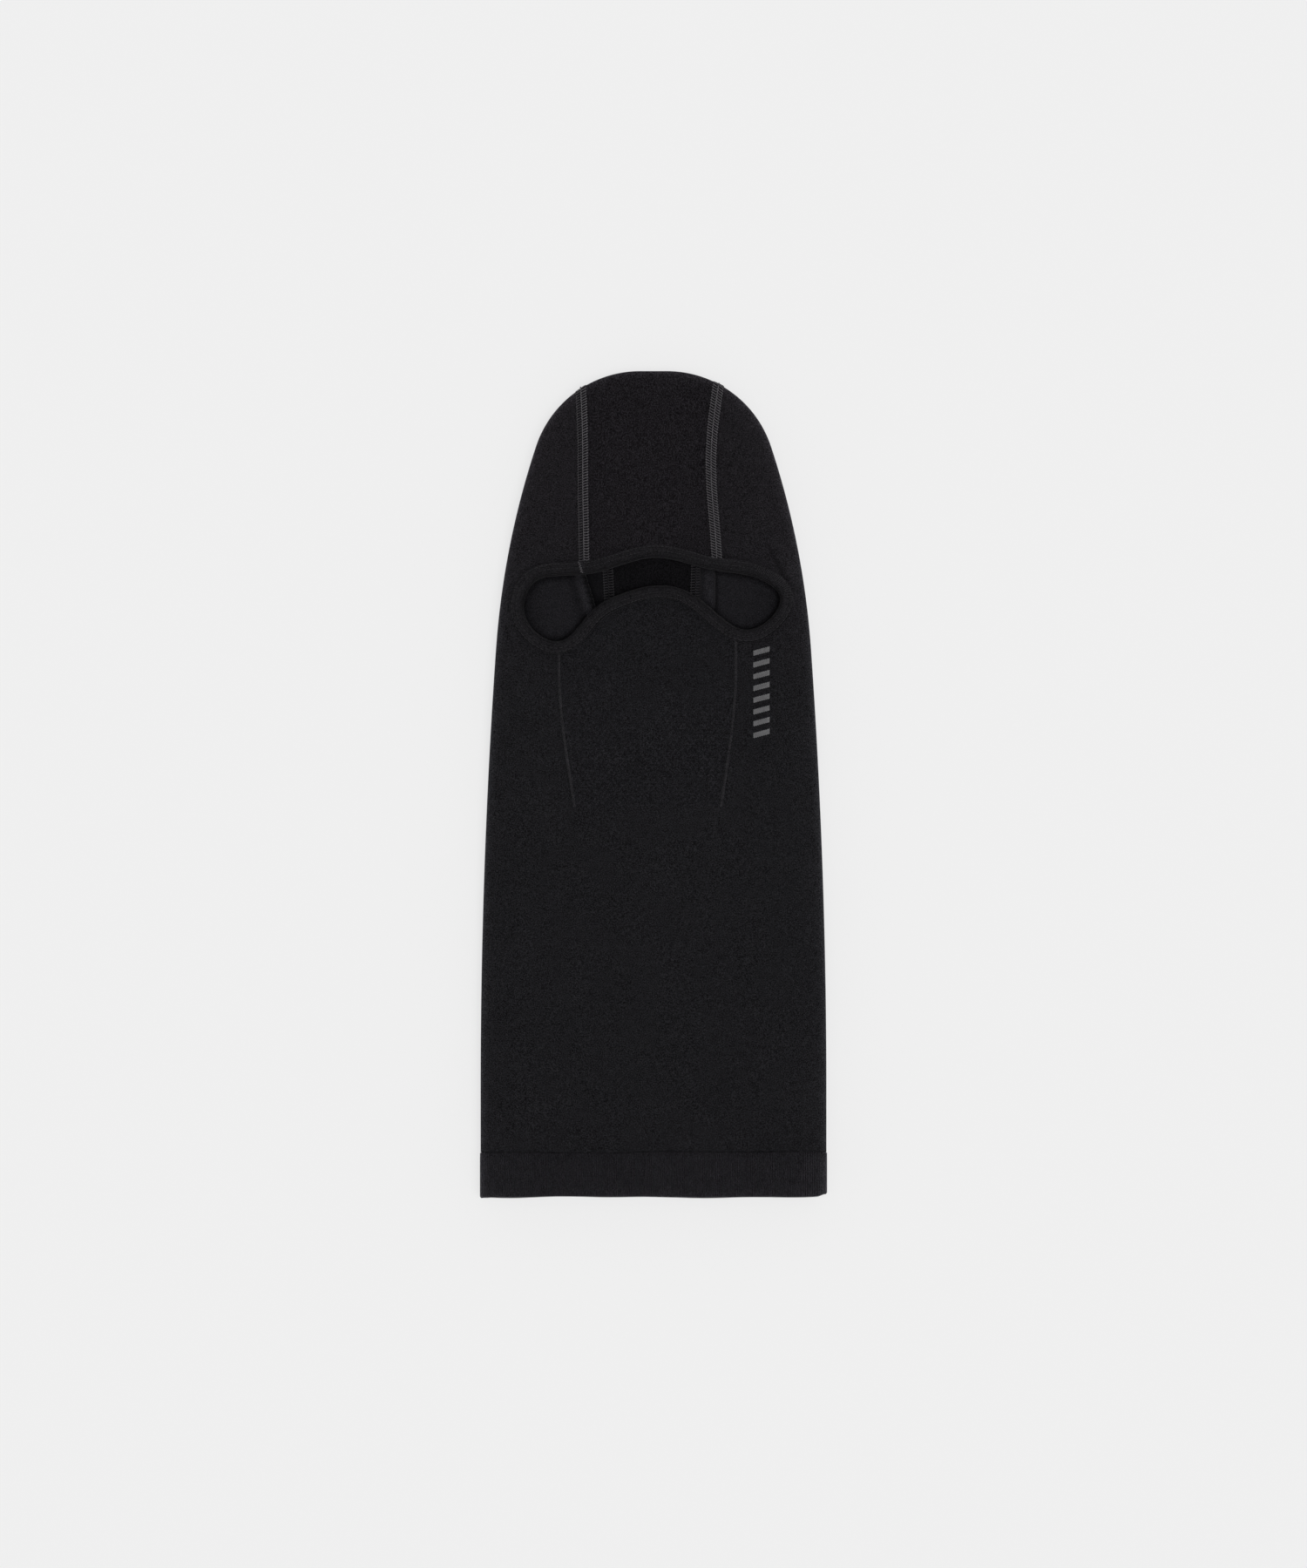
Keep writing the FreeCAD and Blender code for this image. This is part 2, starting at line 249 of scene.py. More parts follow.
@dataclass(frozen=True)
class Opening:
    """The face opening's inner edge: a closed curve through a few plan points in millimetres."""

    points: tuple[tuple[float, float], ...] = (
        (-77.6, 105.8), (-69.6, 121.2), (-58.1, 124.0), (-35.3, 125.8), (-0.5, 134.8),
        (36.8, 127.3), (66.1, 120.8), (75.6, 111.2), (69.6, 98.5), (54.2, 91.7),
        (38.6, 100.5), (18.0, 115.4), (1.0, 118.0), (-18.0, 113.4), (-35.3, 104.1),
        (-57.0, 84.8), (-73.6, 94.0),
    )

    def edge(self, count: int, out: Array = 0.0) -> tuple[Array, Array, Array]:
        """Points spaced evenly round the edge, moved outwards.

        Args:
            count: how many points.
            out: how far outwards they are moved, in metres.

        Returns:
            The points, the outward directions and each point's distance along the edge.
        """
        knots = np.array(self.points) * MM
        gaps = np.linalg.norm(np.roll(knots, -1, 0) - knots, axis=1)
        at = np.concatenate([[0], np.cumsum(gaps)[:-1]])
        fine = np.linspace(0, gaps.sum(), 8001)
        line = cubic(at, knots, fine, gaps.sum())
        run = np.concatenate([[0], np.cumsum(np.linalg.norm(np.diff(line, axis=0), axis=1))])
        want = np.arange(count) / count * run[-1]
        param = np.interp(want, run, fine)
        here = cubic(at, knots, param, gaps.sum())
        ahead = cubic(at, knots, param + 0.2 * MM, gaps.sum())
        behind = cubic(at, knots, param - 0.2 * MM, gaps.sum())
        along = ahead - behind
        along /= np.linalg.norm(along, axis=1, keepdims=True)
        outward = np.stack([-along[:, 1], along[:, 0]], -1)
        return here + outward * np.reshape(out, (-1, 1)), outward, want

    def height_at(self, x: Array, upper: bool, out: float) -> Array:
        """The y of the edge's upper or lower branch over x, for the edge moved outwards.

        Args:
            x: plan positions across, in metres.
            upper: whether it is the upper branch.
            out: how far outwards the edge is moved, in metres.

        Returns:
            The branch's height above each x.
        """
        line = self.edge(1600, out)[0]
        left, right = np.argmin(line[:, 0]), np.argmax(line[:, 0])
        count = len(line)
        upper_run = (np.arange((right - left) % count) + left) % count
        lower_run = (np.arange((left - right) % count) + right) % count
        run = line[upper_run if upper else lower_run[::-1]]
        rising = np.maximum.accumulate(run[:, 0])
        return np.interp(x, rising, run[:, 1])

    def inside(self, x: Array, y: Array) -> Array:
        """How far plan points lie inside the edge: the distance to its nearest point, or 0.

        Args:
            x: plan positions across, in metres.
            y: plan heights, in metres.

        Returns:
            The depth inside the edge, in metres.
        """
        x, y = np.broadcast_arrays(x, y)
        low, high = np.min(self.points, 0) * MM, np.max(self.points, 0) * MM
        near = (x > low[0]) & (x < high[0]) & (y > low[1]) & (y < high[1])
        depth = np.zeros(x.shape)
        if near.any():
            line = self.edge(420)[0]
            px, py = x[near], y[near]
            gap = np.sqrt(((line[:, 0] - px[:, None]) ** 2 + (line[:, 1] - py[:, None]) ** 2).min(1))
            depth[near] = np.where(self.holds(px, py, 0.0), gap, 0.0)
        return depth

    def holds(self, x: Array, y: Array, out: float) -> Array:
        """Whether plan points lie inside the edge moved outwards, by counting crossings.

        Args:
            x: plan positions across, in metres.
            y: plan heights, in metres.
            out: how far outwards the edge is moved, in metres.

        Returns:
            True for each point inside.
        """
        line = self.edge(480, out)[0]
        a, b = line, np.roll(line, -1, 0)
        px, py = x[..., None], y[..., None]
        crosses = (a[:, 1] > py) != (b[:, 1] > py)
        gap = np.where(b[:, 1] == a[:, 1], 1.0, b[:, 1] - a[:, 1])
        meet = a[:, 0] + (py - a[:, 1]) / gap * (b[:, 0] - a[:, 0])
        return (crosses & (px < meet)).sum(-1) % 2 == 1


@dataclass(frozen=True)
class Crease:
    """A small fold pressed in the front: a ridge beside a hollow, all in millimetres.

    Attributes:
        start: the plan point where it starts.
        end: the plan point where it ends.
        width: how far the ridge stands beside the hollow; the sign says on which side.
        high: the ridge's height.
    """

    start: tuple[float, float]
    end: tuple[float, float]
    width: float
    high: float

    def within(self, x: Array, y: Array) -> tuple[Array, Array, float]:
        """Where plan points lie from its line.

        Args:
            x: plan positions across, in metres.
            y: plan heights, in metres.

        Returns:
            How far they lie along it and across it, and its length, in millimetres.
        """
        dx, dy = self.end[0] - self.start[0], self.end[1] - self.start[1]
        length = math.hypot(dx, dy)
        u, v = x / MM - self.start[0], y / MM - self.start[1]
        return (u * dx + v * dy) / length, (u * dy - v * dx) / length, length

    def height(self, x: Array, y: Array) -> Array:
        """The difference of two bell curves across it, fading at both ends, in millimetres.

        Args:
            x: plan positions across, in metres.
            y: plan heights, in metres.

        Returns:
            How far the crease raises the front.
        """
        along, across, length = self.within(x, y)
        fade = smooth(along, -3, 4) * (1 - smooth(along, length - 3, length + 4))
        ridge = bell(across, self.width, self.width) - 1.2 * bell(across, 0, self.width / 1.4)
        return self.high * fade * ridge


@dataclass(frozen=True)
class Lay:
    """The front and back surfaces of the tube as it lies, over the plan outline.

    Both surfaces are level in the middle and meet round the edge in an elliptical fold. The front
    sags a little, carries soft waves and droops towards the fold. The back lies on the floor,
    apart from the tucks that stand up inside the face opening.

    Attributes:
        outline: the plan outline that both surfaces end on.
        opening: the face opening in the front.
        height: the front's level in the middle, before it sags.
        base: the back's level.
        fold: how wide the rounded fold at the side is, in plan.
        fabric: the knit's thickness.
        pleat_x: where the edge of the rolled pleat inside the opening lies, at pleat_y.
        pleat_y: the height at which pleat_x holds.
        pleat_lean: how far that edge moves to -x for each unit up.
        bead_x: the middle of the bead inside the opening's right end.
        hollow_x: the middle of the hollow beside that bead.
        waves: size in millimetres, length in millimetres, direction and phase of each soft wave.
        creases: the small folds pressed in the front, the one beside the tape's right end first.
    """

    outline: Outline
    opening: Opening
    height: float = 8.4 * MM
    base: float = 1.05 * MM
    fold: float = 5.2 * MM
    fabric: float = 1.3 * MM
    pleat_x: float = -41.6 * MM
    pleat_y: float = 122.5 * MM
    pleat_lean: float = 0.30
    bead_x: float = 32.4 * MM
    hollow_x: float = 36.9 * MM
    waves: tuple[tuple[float, float, float, float], ...] = (
        (0.16, 61.0, 0.35, 0.4), (0.13, 47.0, 1.25, 2.1), (0.11, 83.0, 2.2, 4.0),
        (0.10, 38.0, 2.9, 5.2), (0.12, 112.0, 1.7, 1.3), (0.06, 27.0, 0.8, 3.3),
    )
    creases: tuple[Crease, ...] = (
        Crease((67.5, 143.5), (80.5, 116.0), -2.8, 0.45),
        Crease((83.0, -215.5), (102.0, -207.5), 1.8, 0.6),
        Crease((-86.0, 126.0), (-70.0, 138.0), 3.2, 0.3),
        Crease((-90.0, 102.0), (-84.0, 84.0), 3.0, 0.5),
    )

    def front_height(self, x: Array, y: Array) -> Array:
        """The front's level: plateau, less sag, droop at the fold and creases, plus waves.

        Args:
            x: plan positions across, in metres.
            y: plan heights, in metres.

        Returns:
            The front's z before the fold rounds it off.
        """
        depth = self.outline.inset(x, y)
        wave = sum(
            size * np.sin((x * math.cos(turn) + y * math.sin(turn)) / (length * MM) * 2 * math.pi + at)
            for size, length, turn, at in self.waves
        )
        sag = 0.9 * smooth(depth, 12 * MM, 70 * MM)
        droop = 2.5 * (1 - smooth(depth, 0, 25 * MM)) ** 2
        inside = smooth(depth, 3 * MM, 16 * MM)
        pressed = sum(crease.height(x, y) for crease in self.creases)
        return self.height + (wave * inside - sag - droop + pressed) * MM

    def pleat_run(self, x: Array, y: Array) -> Array:
        """How far plan points lie to -x of the rolled pleat's leaning edge, in millimetres."""
        return (self.pleat_x - (y - self.pleat_y) * self.pleat_lean - x) / MM

    def back_height(self, x: Array, y: Array) -> Array:
        """The back's level: the floor, raised where the fabric bulges into the face opening.

        Each end of the opening shows a low dome, which falls away to a narrow hollow along the
        tape. The left one ends in a rolled pleat beside the gusset; the right one has a soft
        crease and, beside it, a bead.

        Args:
            x: plan positions across, in metres.
            y: plan heights, in metres.

        Returns:
            The back's z before the fold rounds it off.
        """
        level = smooth(y, 78 * MM, 92 * MM) * (1 - smooth(y, 132 * MM, 150 * MM))
        dome = 0.25 + 0.75 * smooth(self.opening.inside(x, y), 0.3 * MM, 3.4 * MM)
        run = self.pleat_run(x, y)
        left = smooth(run, -0.6, 0.6)
        pleat = 1 + 0.5 * bell(run, 2.1, 1.7) - 0.3 * bell(run, 7.5, 3.0)
        right = smooth(x, 28.0 * MM, 30.5 * MM)
        dip = bell(x, self.hollow_x, 1.3 * MM)
        bead = bell(x, self.bead_x, 2.4 * MM)
        rise = 3.1 * left * pleat + (2.7 + 0.9 * bead - 2.3 * dip) * right
        rise = rise * np.maximum(dome, 0.8 * bell(run, 2.1, 2.4))
        depth = self.outline.inset(x, y)
        return self.base + rise * level * smooth(depth, 4 * MM, 26 * MM) * MM

    def pressed(self, points: Array) -> Array:
        """How light the outside is: painted shade in the crease by the tape, and a painted highlight along
        the side fold.

        Args:
            points: (n, 3) positions, in metres.

        Returns:
            The share of the fabric's tone with this painted shade and highlight, 1 where none is painted.
        """
        x, y = points[:, 0], points[:, 1]
        along, across, length = self.creases[0].within(x, y)
        fade = smooth(along, -1, 6) * (1 - smooth(along, length - 3.4, length + 3.6))
        # painted shade down the crease's hollow, with a lighter painted band beside it
        crease = fade * (0.12 * bell(across, -6, 4.5) - 0.3 * bell(across, 0, 1.1))
        # painted highlight: up to 2.7 times lighter towards the side fold, for the bright rim that the fold
        # catches
        return 1 + crease + 1.7 * np.exp(-np.abs(self.outline.inset(x, y)) / (1.8 * MM))

    def painted_lining_shading(self, points: Array) -> Array:
        """Painted shade and highlight on the lining: dark beside the left pleat and in the right crease,
        lighter on the pleat's strip and the bead.

        Args:
            points: (n, 3) positions, in metres.

        Returns:
            The share of the lining's tone with this painted shade and highlight, 1 where none is painted.
        """
        x, y = points[:, 0], points[:, 1]
        run = self.pleat_run(x, y)
        # painted shade in the hollow beside the pleat, which the pleat and the front layer overhang
        beside = np.where(run < 0.9, 0.28 + 0.3 * smooth(-run, 0.5, 6.0), 1.0)
        left = beside + 0.3 * bell(run, 3.0, 1.6) - 0.22 * bell(run, 8.0, 3.0)
        right = 1 + 0.25 * bell(x, self.bead_x, 2.6 * MM) - 0.5 * bell(x, self.hollow_x, 1.5 * MM)
        return np.where(x < 0, left, right)

    def roll(self, x: Array, y: Array) -> Array:
        """How far the back layer is pushed along +x where the left pleat rolls over.

        The pleat's top goes out over the hollow beside it and the hollow's foot goes in under the
        pleat, each by a bell curve across the pleat's line.

        Args:
            x: plan positions across, in metres.
            y: plan heights, in metres.

        Returns:
            The push along +x, in metres.
        """
        run = self.pleat_run(x, y)
        level = smooth(y, 84 * MM, 94 * MM) * (1 - smooth(y, 128 * MM, 140 * MM))
        over = 1.5 * bell(run, 0.7, 1.2) - 1.1 * bell(run, -0.9, 0.9)
        return over * level * MM

    def place(self, x: Array, y: Array, side: Side | Array, lift: Array = 0.0) -> Array:
        """Points over the plan on the outside of one layer, moved outwards by lift.

        With k the fraction of the fold's width that is left to the edge, the layer's height above
        the middle is its level times sqrt(1 - k^2), so that the fold is an ellipse. The outward
        direction is that ellipse's gradient, tipped by the level's own slope.

        Args:
            x: plan positions across, in metres.
            y: plan heights, in metres.
            side: the layer, or the sign of its outward z for each point.
            lift: how far off the surface, in metres.

        Returns:
            Positions with a last axis of 3.
        """
        sign = np.asarray(side.value if isinstance(side, Side) else side, float)
        x, y, sign, lift = np.broadcast_arrays(
            np.asarray(x, float), np.asarray(y, float), sign, np.asarray(lift, float)
        )
        k = np.clip(1 - self.outline.inset(x, y) / self.fold, 0, 1)
        rise = np.sqrt(1 - k * k)
        middle = (self.height + self.base) / 2
        level = np.where(sign > 0, self.front_height(x, y), self.back_height(x, y))
        z = middle + (level - middle) * rise
        step = 0.3 * MM
        slopes = []
        for dx, dy in ((step, 0.0), (0.0, step)):
            front = self.front_height(x + dx, y + dy) - self.front_height(x - dx, y - dy)
            back = self.back_height(x + dx, y + dy) - self.back_height(x - dx, y - dy)
            slopes.append(np.where(sign > 0, front, back) / (2 * step))
        out = self.outline.outward(x, y)
        steep = rise / np.abs(level - middle)
        nx = out[..., 0] * k / self.fold - sign * slopes[0] * steep
        ny = out[..., 1] * k / self.fold - sign * slopes[1] * steep
        normal = np.stack([nx, ny, sign * steep], -1)
        normal /= np.linalg.norm(normal, axis=-1, keepdims=True)
        x = x + np.where(sign < 0, self.roll(x, y), 0.0)
        return np.stack([x, y, z], -1) + normal * lift[..., None]


# ---------------------------------------------------------------------------------- meshes


@dataclass
class Skin:
    """Points, faces and texture coordinates that grow piece by piece into one mesh.

    Attributes:
        outer: gives the painted shade and highlight on the outer face at each point, or None for even.
        inner: the same for the lining.
    """

    outer: Callable[[Array], Array] | None = None
    inner: Callable[[Array], Array] | None = None
    points: list[Array] = field(default_factory=list)
    uvs: list[Array] = field(default_factory=list)
    faces: list[Array] = field(default_factory=list)
    count: int = 0

    def add(self, points: Array, faces: Array, uv: Array) -> None:
        """Adds points with their texture coordinates, and quads or triangles that index them.

        Args:
            points: positions, with a last axis of 3.
            faces: (n, 3) or (n, 4) indices into them.
            uv: one pair of texture coordinates for each point, in metres.
        """
        self.points.append(points.reshape(-1, 3))
        self.uvs.append(uv.reshape(-1, 2))
        self.faces.append(faces + self.count)
        self.count += points.reshape(-1, 3).shape[0]

    def grid(
        self, points: Array, uv: Array, flip: bool = False, keep: Array | None = None,
        round_rows: bool = False, round_cols: bool = False,
    ) -> None:
        """Adds a grid of quads over points laid out in rows and columns.

        Args:
            points: (rows, columns, 3) positions.
            uv: (rows, columns, 2) texture coordinates in metres.
            flip: whether the faces turn the other way.
            keep: which quads to keep, (rows - 1, columns - 1), or all.
            round_rows: whether the last row joins the first, with the coordinates carried on.
            round_cols: whether the last column joins the first, with the coordinates carried on.
        """
        if round_rows:
            points = np.concatenate([points, points[:1]])
            uv = np.concatenate([uv, 2 * uv[-1:] - uv[-2:-1]])
        if round_cols:
            points = np.concatenate([points, points[:, :1]], 1)
            uv = np.concatenate([uv, 2 * uv[:, -1:] - uv[:, -2:-1]], 1)
        rows, cols = points.shape[:2]
        index = np.arange(rows * cols).reshape(rows, cols)
        quads = np.stack([index[:-1, :-1], index[:-1, 1:], index[1:, 1:], index[1:, :-1]], -1)
        if flip:
            quads = quads[..., ::-1]
        quads = quads.reshape(-1, 4) if keep is None else quads[keep]
        self.add(points, quads, uv)

    def tubes(self, paths: Array, radius: Array | float, sides: int = 6, closed: bool = False) -> None:
        """Adds round threads along paths.

        Each ring is the circle square to the path, turned from a direction near the vertical:
        centre + r (cos a * side + sin a * up).

        Args:
            paths: (threads, points, 3) centre lines.
            radius: one radius, or one for each thread and point.
            sides: how many sides each thread has.
            closed: whether each path closes on itself; an open one narrows to its ends.
        """
        ahead, behind = np.roll(paths, -1, 1), np.roll(paths, 1, 1)
        if not closed:
            ahead[:, -1], behind[:, 0] = paths[:, -1], paths[:, 0]
        along = ahead - behind
        along /= np.maximum(np.linalg.norm(along, axis=-1, keepdims=True), 1e-12)
        across = np.cross(along, np.array([0.05, 0.03, 1.0]))
        across /= np.maximum(np.linalg.norm(across, axis=-1, keepdims=True), 1e-12)
        up = np.cross(across, along)
        count, length = paths.shape[:2]
        r = np.broadcast_to(radius, (count, length)).copy()
        if not closed:
            r[:, 0] *= 0.25
            r[:, -1] *= 0.25
        turn = np.arange(sides) / sides * 2 * math.pi
        ring = across[:, :, None] * np.cos(turn)[:, None] + up[:, :, None] * np.sin(turn)[:, None]
        points = paths[:, :, None] + ring * r[:, :, None, None]
        index = np.arange(count * length * sides).reshape(count, length, sides)
        index = np.concatenate([index, index[:, :, :1]], 2)
        if closed:
            index = np.concatenate([index, index[:, :1]], 1)
        quads = np.stack(
            [index[:, :-1, :-1], index[:, :-1, 1:], index[:, 1:, 1:], index[:, 1:, :-1]], -1
        ).reshape(-1, 4)
        run = np.linalg.norm(np.diff(paths, axis=1, prepend=paths[:, :1]), axis=-1).cumsum(1)
        u = np.broadcast_to(run[:, :, None], (count, length, sides))
        v = np.broadcast_to(turn / (2 * math.pi) * MM, (count, length, sides))
        self.add(points, quads[:, ::-1], np.stack([u, v], -1))
        if not closed:
            caps = []
            for end, order in ((0, 1), (length - 1, -1)):
                ring_index = np.arange(sides)[::order] + end * sides
                fan = np.stack(
                    [np.full(sides - 2, ring_index[0]), ring_index[1:-1], ring_index[2:]], -1
                )
                start = np.arange(count)[:, None, None] * length * sides
                caps.append((fan[None] + start).reshape(-1, 3))
            self.faces.append(np.concatenate(caps) + self.count - count * length * sides)

    def build(
        self, name: str, material: bpy.types.Material, merge: float = 0.0
    ) -> bpy.types.Object:
        """Makes the mesh object, smooth shaded, with its texture coordinates.

        Args:
            name: the piece's name.
            material: its finish.
            merge: points nearer than this become one, or 0 for none.

        Returns:
            The linked object.
        """
        points, uv = np.concatenate(self.points), np.concatenate(self.uvs)
        if merge:
            cells = np.round(points / merge).astype(np.int64)
            _, first, where = np.unique(cells, axis=0, return_index=True, return_inverse=True)
            points, uv_points = points[first], uv
            where = where.reshape(-1)
        else:
            where, uv_points = np.arange(len(points)), uv
        loops, sizes, corner_uv = [], [], []
        for faces in self.faces:
            joined = where[faces]
            distinct = joined != np.roll(joined, 1, 1)
            whole = distinct.sum(1) >= 3
            faces, joined, distinct = faces[whole], joined[whole], distinct[whole]
            loops.append(joined[distinct])
            corner_uv.append(uv_points[faces[distinct]])
            sizes.append(distinct.sum(1))
        loops, sizes = np.concatenate(loops), np.concatenate(sizes)
        mesh = bpy.data.meshes.new(name)
        mesh.vertices.add(len(points))
        mesh.vertices.foreach_set("co", points.astype(np.float32).ravel())
        mesh.loops.add(len(loops))
        mesh.loops.foreach_set("vertex_index", loops.astype(np.int32))
        mesh.polygons.add(len(sizes))
        starts = np.concatenate([[0], np.cumsum(sizes)[:-1]])
        mesh.polygons.foreach_set("loop_start", starts.astype(np.int32))
        mesh.polygons.foreach_set("loop_total", sizes.astype(np.int32))
        layer = mesh.uv_layers.new(name="cloth")
        layer.data.foreach_set("uv", np.concatenate(corner_uv).astype(np.float32).ravel())
        mesh.polygons.foreach_set("use_smooth", np.ones(len(sizes), bool))
        mesh.update(calc_edges=True)
        # each point's painted shade and highlight goes into a mesh attribute that the finish multiplies its
        # colour by
        for side, tone in (("outer", self.outer), ("inner", self.inner)):
            values = np.ones(len(points)) if tone is None else tone(points)
            painted_shading = mesh.attributes.new(side, "FLOAT", "POINT")
            painted_shading.data.foreach_set("value", values.astype(np.float32))
        edge_of = np.empty(len(mesh.loops), np.int32)
        mesh.loops.foreach_get("edge_index", edge_of)
        hems = np.bincount(edge_of, minlength=len(mesh.edges)) == 1
        mesh.edges.foreach_set("use_edge_sharp", hems)
        mesh.materials.append(material)
        piece = bpy.data.objects.new(name, mesh)
        bpy.context.scene.collection.objects.link(piece)
        return piece


def thicken(piece: bpy.types.Object, thickness: float, lining: bpy.types.Material) -> None:
    """Gives a panel its thickness, inwards from its outer face, and its inner face's finish.

    Args:
        piece: the panel's outer face.
        thickness: how thick it becomes, in metres.
        lining: the inner face's material.
    """
    piece.data.materials.append(lining)
    solid = piece.modifiers.new("thickness", "SOLIDIFY")
    solid.material_offset = 1
    solid.thickness = thickness
    solid.offset = -1.0
    solid.use_rim = True


# ---------------------------------------------------------------------------------- finishes


@dataclass
class Graph:
    """A material's node tree, with short calls for the nodes that the finishes use."""

    name: str
    material: bpy.types.Material = field(init=False)

    def __post_init__(self) -> None:
        """Makes the material with an empty tree."""
        self.material = bpy.data.materials.new(self.name)
        self.material.use_nodes = True
        self.tree.nodes.clear()

    @property
    def tree(self) -> bpy.types.NodeTree:
        """The material's own tree."""
        return self.material.node_tree

    def node(self, kind: str, inputs: dict, **settings: str) -> bpy.types.Node:
        """Adds a node, sets its properties, and sets or links its inputs by name or number.

        Args:
            kind: the node's type.
            inputs: a number, colour or socket for each input.
            settings: the node's own properties.

        Returns:
            The new node.
        """
        made = self.tree.nodes.new(kind)
        for key, value in settings.items():
            setattr(made, key, value)
        for key, value in inputs.items():
            if isinstance(value, bpy.types.NodeSocket):
                self.tree.links.new(value, made.inputs[key])
            else:
                made.inputs[key].default_value = value
        return made

    def math(self, operation: str, a: Number, b: Number = 0.0, c: Number = 0.0) -> Socket:
        """One arithmetic step on numbers or sockets."""
        inputs = dict(enumerate((a, b, c)))
        return self.node("ShaderNodeMath", inputs, operation=operation).outputs[0]

    def noise(self, at: Socket, scale: float, detail: float = 2.0, rough: float = 0.5) -> Socket:
        """Noise from 0 to 1 with this many features to the metre."""
        inputs = {"Vector": at, "Scale": scale, "Detail": detail, "Roughness": rough}
        return self.node("ShaderNodeTexNoise", inputs).outputs["Fac"]

    def vector(self, operation: str, a: Socket, b: Socket | tuple) -> Socket:
        """One arithmetic step on two vectors."""
        return self.node("ShaderNodeVectorMath", {0: a, 1: b}, operation=operation).outputs[0]

    def scaled(self, vector: Socket, by: Number) -> Socket:
        """A vector or a colour times one number."""
        inputs = {0: vector, "Scale": by}
        return self.node("ShaderNodeVectorMath", inputs, operation="SCALE").outputs[0]

    def cloth_uv(self) -> Socket:
        """The piece's own texture coordinates, in metres, as one vector."""
        return self.node("ShaderNodeUVMap", {}, uv_map="cloth").outputs[0]

    def object_at(self) -> Socket:
        """Object coordinates, which are the part's own frame, in metres."""
        return self.node("ShaderNodeTexCoord", {}).outputs["Object"]

    def shade(
        self, colour: Socket, height: Socket, relief: float, rough: float, sheen: float
    ) -> bpy.types.Material:
        """Ends the tree in a cloth shader.

        Args:
            colour: the base colour socket.
            height: the relief's socket, from 0 to 1.
            relief: how deep the relief is, in metres.
            rough: the surface's roughness.
            sheen: how much the fibres light up at grazing angles.

        Returns:
            The finished material.
        """
        bump = self.node("ShaderNodeBump", {"Strength": 1.0, "Distance": relief, "Height": height})
        inputs = {
            "Base Color": colour, "Roughness": rough, "Specular IOR Level": 0.03,
            "Sheen Weight": sheen, "Sheen Roughness": 0.3,
            "Sheen Tint": (0.95, 0.93, 1.0, 1.0), "Normal": bump.outputs[0],
        }
        surface = self.node("ShaderNodeBsdfPrincipled", inputs)
        output = self.node("ShaderNodeOutputMaterial", {})
        self.tree.links.new(surface.outputs[0], output.inputs["Surface"])
        return self.material

    def mix(self, low: tuple, high: tuple, amount: Number) -> Socket:
        """A colour between low and high.

        Args:
            low: the colour where amount is 0.
            high: the colour where amount is 1.
            amount: how far to go from low to high.

        Returns:
            The mixed colour.
        """
        ramp = self.node("ShaderNodeMix", {0: amount}, data_type="RGBA")
        ramp.inputs[6].default_value = (*low, 1.0)
        ramp.inputs[7].default_value = (*high, 1.0)
        return ramp.outputs[2]


